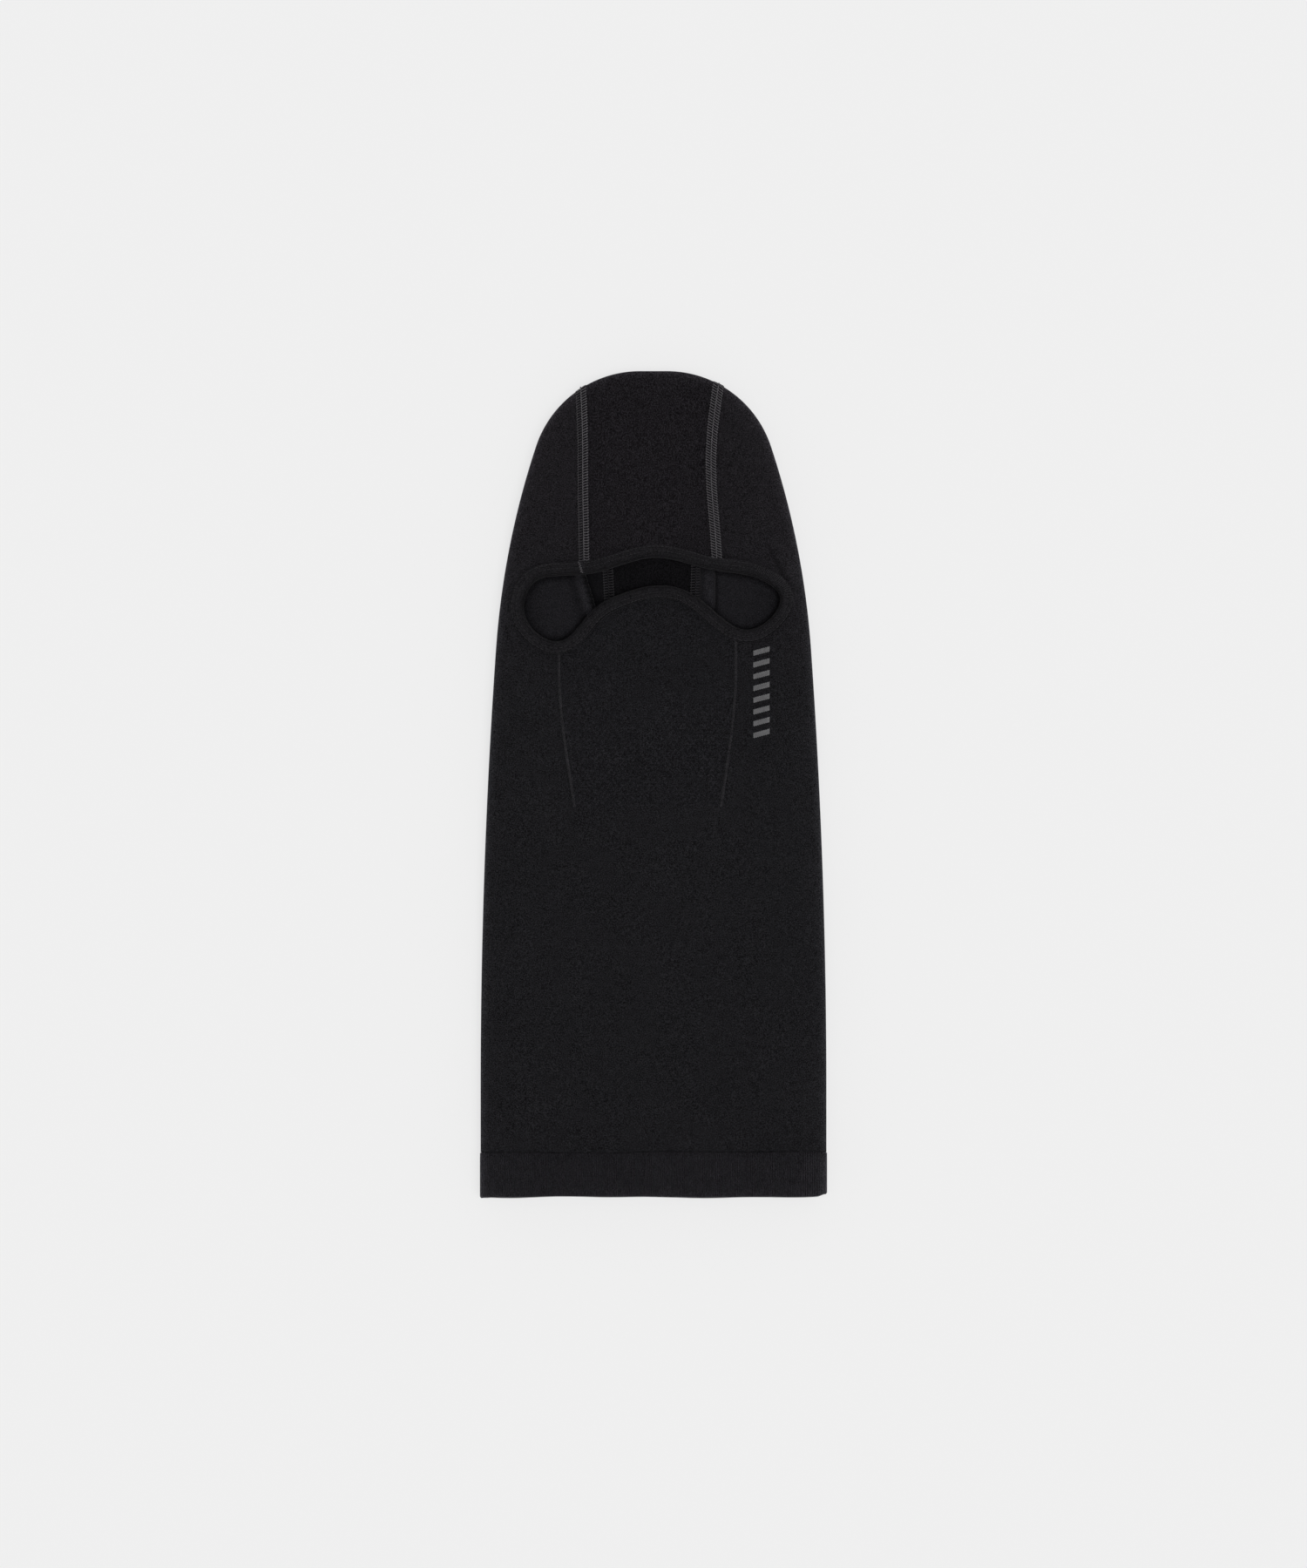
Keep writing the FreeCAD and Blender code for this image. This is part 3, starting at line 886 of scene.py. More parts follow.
@dataclass(frozen=True)
class Knit:
    """A knitted finish: columns of interlocked V stitches with painted shade between them, yarn fuzz and
    slow mottling.

    Attributes:
        name: the material's name.
        colour: the yarn's colour on top of a stitch.
        deep: the painted shade between stitches, as a share of the yarn's colour.
        wale: the width of one column of stitches.
        course: the height of one stitch.
        slope: how far a stitch's legs rise across the column, in stitches.
        rib: how strongly the columns stand apart, from 0 to 1.
        relief: how deep the stitches are.
        mottle: how much the colour drifts over centimetres.
        grain: how strongly light and dark fibres show in the yarn.
        lower: the yarn's colour at the neck, where it differs from the crown's.
        streak: how many times longer than wide the fibres' specks are, along the column.
        sheen: how much the fibres light up at grazing angles.
        face: which of the mesh's two painted-shading attributes it takes, "outer" or "inner".
    """

    name: str
    colour: tuple[float, float, float]
    deep: float = 0.55
    wale: float = 1.05 * MM
    course: float = 0.78 * MM
    slope: float = 0.9
    rib: float = 0.5
    relief: float = 0.22 * MM
    mottle: float = 0.12
    grain: float = 4.4
    lower: tuple[float, float, float] | None = None
    streak: float = 1.0
    sheen: float = 0.3
    face: str = "outer"

    def make(self) -> bpy.types.Material:
        """Builds the material.

        A stitch's height is the sine of its place along the sloping leg, times the sine of its
        place across the column raised to a power that grows with the rib. Every noise is given
        by how many features it has to the metre.

        Returns:
            The finished material.
        """
        g = Graph(self.name)
        uv = g.cloth_uv()
        wander = g.node(
            "ShaderNodeTexNoise", {"Vector": uv, "Scale": 260.0, "Detail": 1.0}
        ).outputs["Color"]
        shift = g.scaled(g.vector("SUBTRACT", wander, (0.5, 0.5, 0.5)), 0.5 * MM)
        moved = g.vector("ADD", uv, shift)
        split = g.node("ShaderNodeSeparateXYZ", {"Vector": moved}).outputs
        column = g.math("FRACT", g.math("DIVIDE", split[0], self.wale))
        leg = g.math("ABSOLUTE", g.math("SUBTRACT", g.math("MULTIPLY", column, 2.0), 1.0))
        rise = g.math("ADD", g.math("DIVIDE", split[1], self.course), g.math("MULTIPLY", leg, self.slope))
        along = g.math("SINE", g.math("MULTIPLY", g.math("FRACT", rise), math.pi))
        across = g.math("SINE", g.math("MULTIPLY", leg, math.pi))
        across = g.math("POWER", g.math("MAXIMUM", across, 0.001), 0.4 + self.rib)
        stitch = g.math("MULTIPLY", g.math("POWER", g.math("MAXIMUM", along, 0.001), 0.6), across)
        at = g.object_at()
        fuzz = g.noise(at, 2600.0, 3.0, 0.7)
        height = g.math("ADD", g.math("MULTIPLY", stitch, 0.75), g.math("MULTIPLY", fuzz, 0.5))
        slow = g.noise(at, 34.0, 3.0, 0.55)
        long = g.vector("MULTIPLY", at, (1.0, 1.0 / self.streak, 1.0))
        heather = g.noise(long, 1800.0, 1.0, 0.6)
        fibres = g.noise(long, 3500.0, 1.0, 0.5)
        cloud = g.noise(at, 240.0, 2.0, 0.6)
        tone = g.math("MULTIPLY", g.math("SUBTRACT", slow, 0.5), self.mottle * 2)
        for noise, share in ((heather, 1.0), (fibres, 0.8), (cloud, 0.14)):
            tone = g.math("MULTIPLY_ADD", g.math("SUBTRACT", noise, 0.5), self.grain * share, tone)
        tone = g.math("MAXIMUM", g.math("ADD", tone, 1.0), 0.15)
        # painted shade: the colour falls to deep between the stitches
        shadow = g.math("MULTIPLY_ADD", stitch, 1.0 - self.deep, self.deep)
        # painted shade and highlight: the colour is multiplied by the mesh's attribute
        painted_shading = g.node("ShaderNodeAttribute", {}, attribute_name=self.face).outputs["Fac"]
        tone = g.math("MULTIPLY", g.math("MULTIPLY", tone, shadow), painted_shading)
        up = g.node("ShaderNodeSeparateXYZ", {"Vector": at}).outputs[1]
        up = g.node("ShaderNodeMapRange", {"Value": up, 1: 0.05, 2: 0.17}).outputs[0]
        colour = g.mix(self.lower or self.colour, self.colour, up)
        return g.shade(g.scaled(colour, tone), height, self.relief, 0.92, self.sheen)


@dataclass(frozen=True)
class Yarn:
    """A twisted thread: plies that wind round it as slanting grooves, with loose fibres.

    Attributes:
        name: the material's name.
        colour: the yarn's colour on top of a ply.
        ply: how far one ply runs along the thread in one turn.
        relief: how deep the grooves are.
        sheen: how much the fibres light up at grazing angles.
    """

    name: str
    colour: tuple[float, float, float]
    ply: float = 0.55 * MM
    relief: float = 0.06 * MM
    sheen: float = 0.15

    def make(self) -> bpy.types.Material:
        """Builds the material; the groove is a sine of the length run less one turn round it.

        Returns:
            The finished material.
        """
        g = Graph(self.name)
        split = g.node("ShaderNodeSeparateXYZ", {"Vector": g.cloth_uv()}).outputs
        turn = g.math("SUBTRACT", g.math("DIVIDE", split[0], self.ply), g.math("DIVIDE", split[1], MM / 2))
        groove = g.math("ABSOLUTE", g.math("SINE", g.math("MULTIPLY", turn, math.pi)))
        at = g.object_at()
        fibre = g.noise(at, 3400.0, 3.0, 0.7)
        height = g.math("ADD", groove, g.math("MULTIPLY", fibre, 0.6))
        drift = g.noise(at, 500.0, 2.0, 0.6)
        tone = g.math("ADD", g.math("MULTIPLY", g.math("SUBTRACT", drift, 0.5), 0.7), 1.0)
        # painted shade: the grooves between the plies are painted at half the colour
        low = tuple(c * 0.5 for c in self.colour)
        colour = g.mix(low, self.colour, groove)
        return g.shade(g.scaled(colour, tone), height, self.relief, 0.75, self.sheen)


# ---------------------------------------------------------------------------------- the seams' lines

SEAM_LEFT = Line(((118, -41.2), (150, -41.6), (180, -42.1), (212, -42.3), (235, -43.2)))
SEAM_RIGHT = Line(
    ((118, 38.4), (140, 37.3), (158, 35.9), (176, 34.5), (196, 34.3), (216, 35.9), (237, 38.7))
)
BACK_LEFT = Line(
    ((-16, 0), (33, -16.7), (83, -24.8), (118, -26.9), (140, -28.5), (180, -35.0), (235, -43.2))
)
BACK_RIGHT = Line(
    ((-16, 0), (33, 15.6), (83, 23.2), (118, 25.3), (140, 26.3), (180, 31.9), (237, 38.7))
)
RIB_LEFT = Line(((-13.8, -46.9), (22, -52.4), (58, -56.0), (90, -56.0)))
RIB_RIGHT = Line(((-13.8, 40.1), (22, 45.3), (58, 48.8), (90, 48.8)))
VENT_END = -13.8 * MM
NAPE = -16.0 * MM


def lines(left: bool) -> tuple[Line, Line, Line]:
    """(front seam, back seam, vent rib) of one side."""
    return (SEAM_LEFT, BACK_LEFT, RIB_LEFT) if left else (SEAM_RIGHT, BACK_RIGHT, RIB_RIGHT)


# ---------------------------------------------------------------------------------- panels


@dataclass
class Piece:
    """What every part of the garment needs: the lay, and how a piece is put on the frame.

    Attributes:
        lay: the two surfaces that the part lies on.
    """

    lay: Lay

    @property
    def opening(self) -> Opening:
        """The face opening that the lay is made round."""
        return self.lay.opening

    def fit(self, piece: bpy.types.Object, node: str, slot: str) -> bpy.types.Object:
        """Puts a finished piece on the body in place of its CAD node.

        Args:
            piece: the finished object.
            node: the CAD node that it stands for.
            slot: its kind of material; not used.

        Returns:
            The same object.
        """
        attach(piece, "root")
        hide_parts(node)
        triangles = sum(len(p.vertices) - 2 for p in piece.data.polygons)
        LOG.info("%s stands for %s, %d triangles", piece.name, node, triangles)
        return piece

    def fold_steps(
        self, y: Array, inner: Array, flat: int, fold: int, left: bool, crowd: float = 1.0
    ) -> Array:
        """Distances from the middle line of the columns from an inner line to the side fold.

        Level columns sit at even steps raised to the power crowd, so that a power over 1 crowds
        them to the inner line. In the fold, the distance left to the edge is gap * (1 - sin a)
        for even angles a, where gap is the fold's width over the edge's slope.

        Args:
            y: the rows' heights.
            inner: the inner line at each row.
            flat: how many columns are level.
            fold: how many columns go round the fold.
            left: whether it is the side at negative x.
            crowd: the power that crowds the level columns.

        Returns:
            (rows, flat + fold) distances from the middle line.
        """
        sign = -1.0 if left else 1.0
        edge = self.lay.outline.half_width(y)
        slope = np.abs(self.lay.outline.outward(sign * edge, y)[..., 0])
        gap = np.minimum(self.lay.fold / np.maximum(slope, 0.25), 0.8 * np.abs(edge - inner))
        even = np.linspace(0, 1, flat)[None] ** crowd
        level = inner[:, None] + (edge - gap - inner)[:, None] * even
        angle = np.linspace(0, math.pi / 2, fold + 1)[None, 1:]
        return np.concatenate([level, edge[:, None] - gap[:, None] * (1 - np.sin(angle))], 1)


@dataclass
class HoodTube(Piece):
    """The knitted tube: neck, jaw and both sides of the hood, cut away for the other panels.

    Attributes:
        hem_top: the height of the seam with the hem band.
    """

    hem_top: float

    def inner(self, y: Array, left: bool) -> Array:
        """The inner line of a side: the vent's rib below the opening, the seam above it.

        Args:
            y: plan heights, in metres.
            left: whether it is the side at negative x.

        Returns:
            The distance from the middle line.
        """
        seam, _, rib = lines(left)
        share = smooth(y, 84 * MM, 116 * MM)
        return np.abs(rib.x(y)) * (1 - share) + np.abs(seam.x(y)) * share

    def rows(self, left: bool) -> Array:
        """The rows' heights: closest beside the face opening, ending where the seam meets the edge.

        Args:
            left: whether it is the side at negative x.

        Returns:
            Rising heights, in metres.
        """
        top = float(self.lay.outline.crown(lines(left)[0].x(240 * MM)))
        stops = (self.hem_top, NAPE, VENT_END, 76 * MM, 142 * MM, top - 20 * MM, top)
        counts = (57, 2, 31, 58, 32, 14)  # how many rows each stretch between two stops has
        runs = [np.linspace(a, b, n, endpoint=False) for a, b, n in zip(stops, stops[1:], counts)]
        return np.concatenate([*runs, [top]])

    def side(self, skin: Skin, left: bool) -> None:
        """One side, from its inner line on the front, round the fold, to its back line.

        Args:
            skin: the mesh that it is added to.
            left: whether it is the side at negative x.
        """
        y = self.rows(left)
        _, back, _ = lines(left)
        edge = self.lay.outline.half_width(y)
        inner = np.minimum(self.inner(y, left), edge)
        rear = np.minimum(np.where(y < NAPE, 0.0, np.abs(back.x(y))), edge)
        front = self.fold_steps(y, inner, 38, 9, left)
        behind = self.fold_steps(y, rear, 66, 9, left, 1.45)[:, ::-1][:, 1:]
        sign = -1.0 if left else 1.0
        x = np.concatenate([front, behind], 1) * sign
        side = np.concatenate([np.ones(front.shape[1]), -np.ones(behind.shape[1])])[None]
        yy = np.broadcast_to(self.hem_line(x, y[:, None]), x.shape)
        points = self.lay.place(x, yy, side)
        run = np.linalg.norm(np.diff(points, axis=1, prepend=points[:, :1]), axis=-1).cumsum(1)
        uv = np.stack([sign * (inner[:, None] + run), yy], -1)
        mid = (points[:-1, :-1] + points[1:, 1:]) / 2
        keep = ~(self.opening.holds(mid[..., 0], mid[..., 1], 2.2 * MM) & (side[:, :-1] > 0))
        skin.grid(points, uv, flip=left, keep=keep)

    def hem_line(self, x: Array, y: Array) -> Array:
        """Lets the lowest rows follow the hem's slightly wavy seam."""
        return y + hem_wave(x) * (1 - smooth(y - self.hem_top, 0, 25 * MM))

    def make(self, finish: bpy.types.Material, lining: bpy.types.Material) -> bpy.types.Object:
        """Builds the tube as one shell with its thickness.

        Args:
            finish: the outside's material.
            lining: the inside's material.

        Returns:
            The finished piece, put on the frame.
        """
        # the outside takes the painted crease shade and fold highlight, the lining its painted shade and
        # highlight
        skin = Skin(self.lay.pressed, self.lay.painted_lining_shading)
        self.side(skin, True)
        self.side(skin, False)
        y = self.rows(True)
        y = y[y <= VENT_END + 1e-9]
        left, right = -self.inner(y, True), self.inner(y, False)
        x = left[:, None] + (right - left)[:, None] * np.linspace(0, 1, 36)[None]
        yy = self.hem_line(x, y[:, None])
        skin.grid(self.lay.place(x, yy, Side.FRONT), np.stack([x, yy], -1))
        piece = skin.build("hood_and_neck_knit", finish, 0.01 * MM)
        thicken(piece, self.lay.fabric, lining)
        return self.fit(piece, "knit_tube", "hood_knit")


def hem_wave(x: Array) -> Array:
    """The small wander of the hem's seam across the garment: two slow sines."""
    return (0.35 * np.sin(x / (31 * MM)) + 0.25 * np.sin(x / (13 * MM) + 1.0)) * MM


@dataclass
class CrownGusset(Piece):
    """The panel between the two flat seams: brow, over the crown, and down to the nape's point."""

    def make(self, finish: bpy.types.Material, lining: bpy.types.Material) -> bpy.types.Object:
        """Builds the gusset with rows parallel to the crown's fold.

        Down each column, y runs from the brow to the crown, and over the fold to the nape; across
        each row, x is the share b of the way from the left seam to the right seam at that y.

        Args:
            finish: the outside's material.
            lining: the inside's material.

        Returns:
            The finished piece, put on the frame.
        """
        share = np.linspace(0, 1, 66)[None]
        crown_fold = 5.5 / 120
        halves = []
        front, back = (SEAM_LEFT, SEAM_RIGHT), (BACK_LEFT, BACK_RIGHT)
        for sides, flat, low in ((front, 64, None), (back, 110, NAPE)):
            angle = np.linspace(0, math.pi / 2, 10)[1:]
            fold = 1 - crown_fold * (1 - np.sin(angle))
            part = np.concatenate([np.linspace(0, 1 - crown_fold, flat), fold])[:, None]
            y = np.broadcast_to(200 * MM * part, (part.size, share.size))
            for _ in range(SETTLE):
                left, right = sides[0].x(y), sides[1].x(y)
                x = left + (right - left) * share
                start = self.opening.height_at(x, True, 2.0 * MM) if low is None else low
                y = start + (self.lay.outline.crown(x) - start) * part
            halves.append((x, y))
        (fx, fy), (bx, by) = halves
        x = np.concatenate([fx, bx[::-1][1:]])
        y = np.concatenate([fy, by[::-1][1:]])
        side = np.concatenate([np.ones(len(fx)), -np.ones(len(bx) - 1)])[:, None]
        points = self.lay.place(x, y, side)
        run = np.linalg.norm(np.diff(points, axis=0, prepend=points[:1]), axis=-1).cumsum(0)
        # the outside takes the painted highlight along the crown's fold
        skin = Skin(self.lay.pressed)
        skin.grid(points, np.stack([x, y[:1] + run], -1))
        piece = skin.build("crown_gusset_knit", finish, 0.01 * MM)
        thicken(piece, self.lay.fabric, lining)
        return self.fit(piece, "crown_gusset", "gusset_knit")


@dataclass
class MouthVent(Piece):
    """The panel in front of the mouth, knitted as a mesh that opens towards its lower end.

    Attributes:
        pitch: the distance between eyelets across the panel.
        course: half of the distance between eyelets along it.
        depth: how deep the dimple at an eyelet is.
        wall: the panel's thickness.
    """

    pitch: float = 3.36 * MM
    course: float = 2.29 * MM
    depth: float = 0.3 * MM
    wall: float = 0.8 * MM

    def eyelets(self, x: Array, y: Array) -> Array:
        """How open the mesh is, from 0 to 1: a diamond lattice of bell-shaped holes.

        The holes sit where the cosine across and the cosine along agree, and fade in downwards.

        Args:
            x: plan positions across, in metres.
            y: plan heights, in metres.

        Returns:
            How open the mesh is at each point.
        """
        lattice = np.cos(2 * math.pi * x / self.pitch) * np.cos(math.pi * y / self.course)
        beside = (x - RIB_LEFT.x(y), RIB_RIGHT.x(y) - x)
        left, right = (smooth(gap, 2.2 * MM, 4.0 * MM) for gap in beside)
        fade = 1 - smooth(y, 30 * MM, 62 * MM)
        return smooth(lattice, 0.35, 0.95) * (left * right) * fade

    def shade(self, x: Array, y: Array) -> Array:
        """How light the panel is: painted shade in the eyelets, and lighter flecks that vary at random on
        the bars between.

        How light a fleck is comes from the fraction of a large sine of its row and column.

        Args:
            x: plan positions across, in metres.
            y: plan heights, in metres.

        Returns:
            The share of the panel's tone, with the eyelets' painted shade.
        """
        hole = self.eyelets(x, y)
        column, row = np.round(2 * x / self.pitch), np.round(2 * y / self.course)
        chance = np.abs(np.sin(column * 12.9 + row * 78.2) * 437.5) % 1
        # painted shade in the eyelets; the flecks are tone that varies at random
        return 1 - 0.2 * hole + (0.45 * chance - 0.08) * (1 - hole) * (1 - smooth(y, 34 * MM, 70 * MM))

    def make(self, finish: bpy.types.Material) -> bpy.types.Object:
        """Builds the panel between its two ribs, with a dimple at each eyelet.

        Args:
            finish: the piece's material.

        Returns:
            The finished piece, put on the frame.
        """
        share = np.linspace(0, 1, 178)[None]
        part = np.linspace(0, 1, 214)[:, None]
        y = np.broadcast_to(100 * MM * part, (part.size, share.size))
        for _ in range(SETTLE):
            left, right = RIB_LEFT.x(y), RIB_RIGHT.x(y)
            x = left + (right - left) * share
            top = self.opening.height_at(x, False, 2.0 * MM)
            y = VENT_END + (top - VENT_END) * part
        hole = self.eyelets(x, y)
        points = self.lay.place(x, y, Side.FRONT, -self.depth * hole)
        skin = Skin(lambda at: self.shade(at[:, 0], at[:, 1]))
        skin.grid(points, np.stack([x, y], -1))
        piece = skin.build("mouth_vent_knit", finish)
        thicken(piece, self.wall, finish)
        return self.fit(piece, "mouth_vent", "vent_knit")

    def rib(self, left: bool, finish: bpy.types.Material) -> bpy.types.Object:
        """One raised rib beside the panel: a low round bead that dips between its stitches.

        The bead tapers to a point at each end, so that it is closed.

        Args:
            left: whether it is the rib at negative x.
            finish: the piece's material.

        Returns:
            The finished piece, put on the frame.
        """
        line = lines(left)[2]
        top = (79.5 if left else 86.0) * MM
        y = np.linspace(VENT_END, top, 520)[:, None]
        turn = np.linspace(0, math.pi, 9)[None]
        taper = smooth(y, VENT_END, VENT_END + 0.6 * MM) * (1 - smooth(y, top - 0.6 * MM, top))
        ridge = taper * (0.75 + 0.25 * np.abs(np.sin(math.pi * y / (0.8 * MM))))
        x = line.x(y) - 0.85 * MM * np.cos(turn) * ridge
        points = self.lay.place(x, y + 0 * x, Side.FRONT, 0.42 * MM * np.sin(turn) * ridge - 0.04 * MM)
        under = self.lay.place(x[:, ::-1], y + 0 * x, Side.FRONT, (-0.26 * taper - 0.04) * MM)
        ring = np.concatenate([points, under[:, 1:-1]], 1)
        skin = Skin()
        skin.grid(ring, np.stack([ring[..., 0], ring[..., 1]], -1), round_cols=True)
        side = "left" if left else "right"
        piece = skin.build(f"vent_rib_{side}_bead", finish, 0.001 * MM)
        return self.fit(piece, f"vent_rib_{side}", "vent_knit")


@dataclass
class HemBand(Piece):
    """The ribbed band, folded double, linked to the tube's lower end.

    Attributes:
        top: the height of the seam with the tube.
        bottom: the lower end.
        pitch: the distance between ribs.
        proud: how far the band stands over the tube.
        wall: how deep its inner layer lies under the tube's outside.
        ply: the thickness of each of its two layers.
        links: how many times the linking thread hooks round the band.
    """

    top: float
    bottom: float
    pitch: float = 1.09 * MM
    proud: float = 0.15 * MM
    wall: float = 2.1 * MM
    ply: float = 0.85 * MM
    links: int = 380

    def ring(self, count: int) -> tuple[Array, Array, Array]:
        """Points round the lying band, evenly spaced by length: x, side and distance run.

        Args:
            count: how many points.

        Returns:
            The x of each, the sign of its outward z, and the distance run to it.
        """
        half = self.lay.outline.half
        fold = self.lay.fold
        level, quarter = 400, 39
        angle = np.linspace(0, math.pi / 2, quarter + 1)
        arc = half - fold * (1 - np.sin(angle))
        flat = np.linspace(-half + fold, half - fold, level)
        x = np.concatenate([flat, arc[1:], arc[::-1][1:], flat[::-1][1:], -arc[1:], -arc[::-1][1:-1]])
        back = -np.ones(2 * quarter + level - 1)
        side = np.concatenate([np.ones(level + quarter), back, np.ones(quarter - 1)])
        points = self.lay.place(x, np.full_like(x, (self.top + self.bottom) / 2), side)
        gaps = np.linalg.norm(np.diff(points, axis=0, append=points[:1]), axis=-1)
        run = np.concatenate([[0], np.cumsum(gaps)])
        want = np.arange(count) / count * run[-1]
        xs = np.interp(want, run, np.append(x, x[0]))
        sides = np.where(np.interp(want, run, np.append(side, 1.0)) > 0, 1.0, -1.0)
        return xs, sides, want

    def shade(self, points: Array) -> Array:
        """How light the band is: the tube's painted highlight along its folds, and a painted highlight
        along the rolled lower end.
        """
        rise = np.maximum(points[:, 1] - self.bottom, 0)
        return self.lay.pressed(points) + 0.3 * bell(rise, 0, 3 * MM)

    def make(self, finish: bpy.types.Material) -> bpy.types.Object:
        """Builds the band as one closed fold of doubled knit.

        Its profile goes down the outside, round the lower end, up the inside, and back between
        the two layers. The outside stands proud by the cosine of the rib's phase; the lower end
        wanders a little, and each rib's tip hangs lower than the gaps.

        Args:
            finish: the piece's material.

        Returns:
            The finished piece, put on the frame.
        """
        x, side, run = self.ring(1900)
        total = run[1] * len(run)
        ribs = round(total / self.pitch)
        wave = np.cos(2 * math.pi * ribs * run / total)
        down = np.concatenate([[0.0, 0.25], np.linspace(0.8, 25.0, 9)]) * MM
        turn = np.linspace(0, math.pi, 7)[1:-1]
        radius = (self.proud + self.wall) / 2
        tip = (0.24 * wave + 0.25 * np.sin(run / (9 * MM)) + 0.3 * np.sin(run / (23 * MM) + 2)) * MM
        corner = 1.4 * MM * smooth(x, 97 * MM, 103 * MM)
        low = self.bottom + 1.1 * MM - tip + corner
        top = self.top + hem_wave(x)
        share = down / down[-1]
        outside_y = top[None] + (low - top)[None] * share[:, None]
        relief = smooth(share, 0.0, 0.04)[:, None] * 0.28 * MM * wave[None]
        dip = -1.0 * MM * (1 - smooth(share, 0.0, 0.035))[:, None]
        outside = self.lay.place(x[None], outside_y, side[None], self.proud + relief + dip)
        round_y = low[None] - radius * np.sin(turn)[:, None]
        round_lift = self.proud - radius * (1 - np.cos(turn))[:, None] + 0.1 * MM * wave[None]
        rounded = self.lay.place(x[None], round_y, side[None], round_lift)
        inside_y = low[None] + (top - 1.2 * MM - low)[None] * np.linspace(0, 1, 6)[:, None]
        inside = self.lay.place(x[None], inside_y, side[None], -self.wall)
        back, small = turn[::-1], radius - self.ply
        bend_y = low[None] - small * np.sin(back)[:, None]
        bend_lift = self.proud - radius + small * np.cos(back)[:, None] + 0 * low[None]
        bend = self.lay.place(x[None], bend_y, side[None], bend_lift)
        within = self.lay.place(x[None], inside_y[::-1], side[None], self.ply - self.wall)
        up_y = low[None] + (top - 1.4 * MM - low)[None] * np.linspace(0, 1, 4)[:, None]
        behind = self.lay.place(x[None], up_y, side[None], self.proud - self.ply)
        rows = np.concatenate([outside, rounded, inside, within, bend, behind])
        length = np.concatenate([outside_y, round_y, inside_y, inside_y[::-1], bend_y, up_y])
        uv = np.stack([np.broadcast_to(run[None], length.shape), length], -1)
        skin = Skin(self.shade)
        skin.grid(rows, uv, flip=True, round_rows=True, round_cols=True)
        piece = skin.build("hem_band_rib_knit", finish, 0.001 * MM)
        return self.fit(piece, "hem_band", "hem_rib")

    def chain(self, finish: bpy.types.Material) -> bpy.types.Object:
        """The linking seam: a thread that hooks back and forth, as a sine along the band's top.

        Args:
            finish: the piece's material.

        Returns:
            The finished piece, put on the frame.
        """
        x, side, run = self.ring(self.links * 8)
        phase = 2 * math.pi * self.links * run / (run[1] * len(run))
        y = self.top + hem_wave(x) + 0.1 * MM + 0.32 * MM * np.sin(phase)
        path = self.lay.place(x, y, side, (-0.25 + 0.1 * np.cos(phase)) * MM)
        skin = Skin()
        skin.tubes(path[None], 0.2 * MM, 6, closed=True)
        piece = skin.build("hem_linking_thread", finish)
        return self.fit(piece, "hem_linking_chain", "seam_thread")


# ---------------------------------------------------------------------------------- the face opening's tape


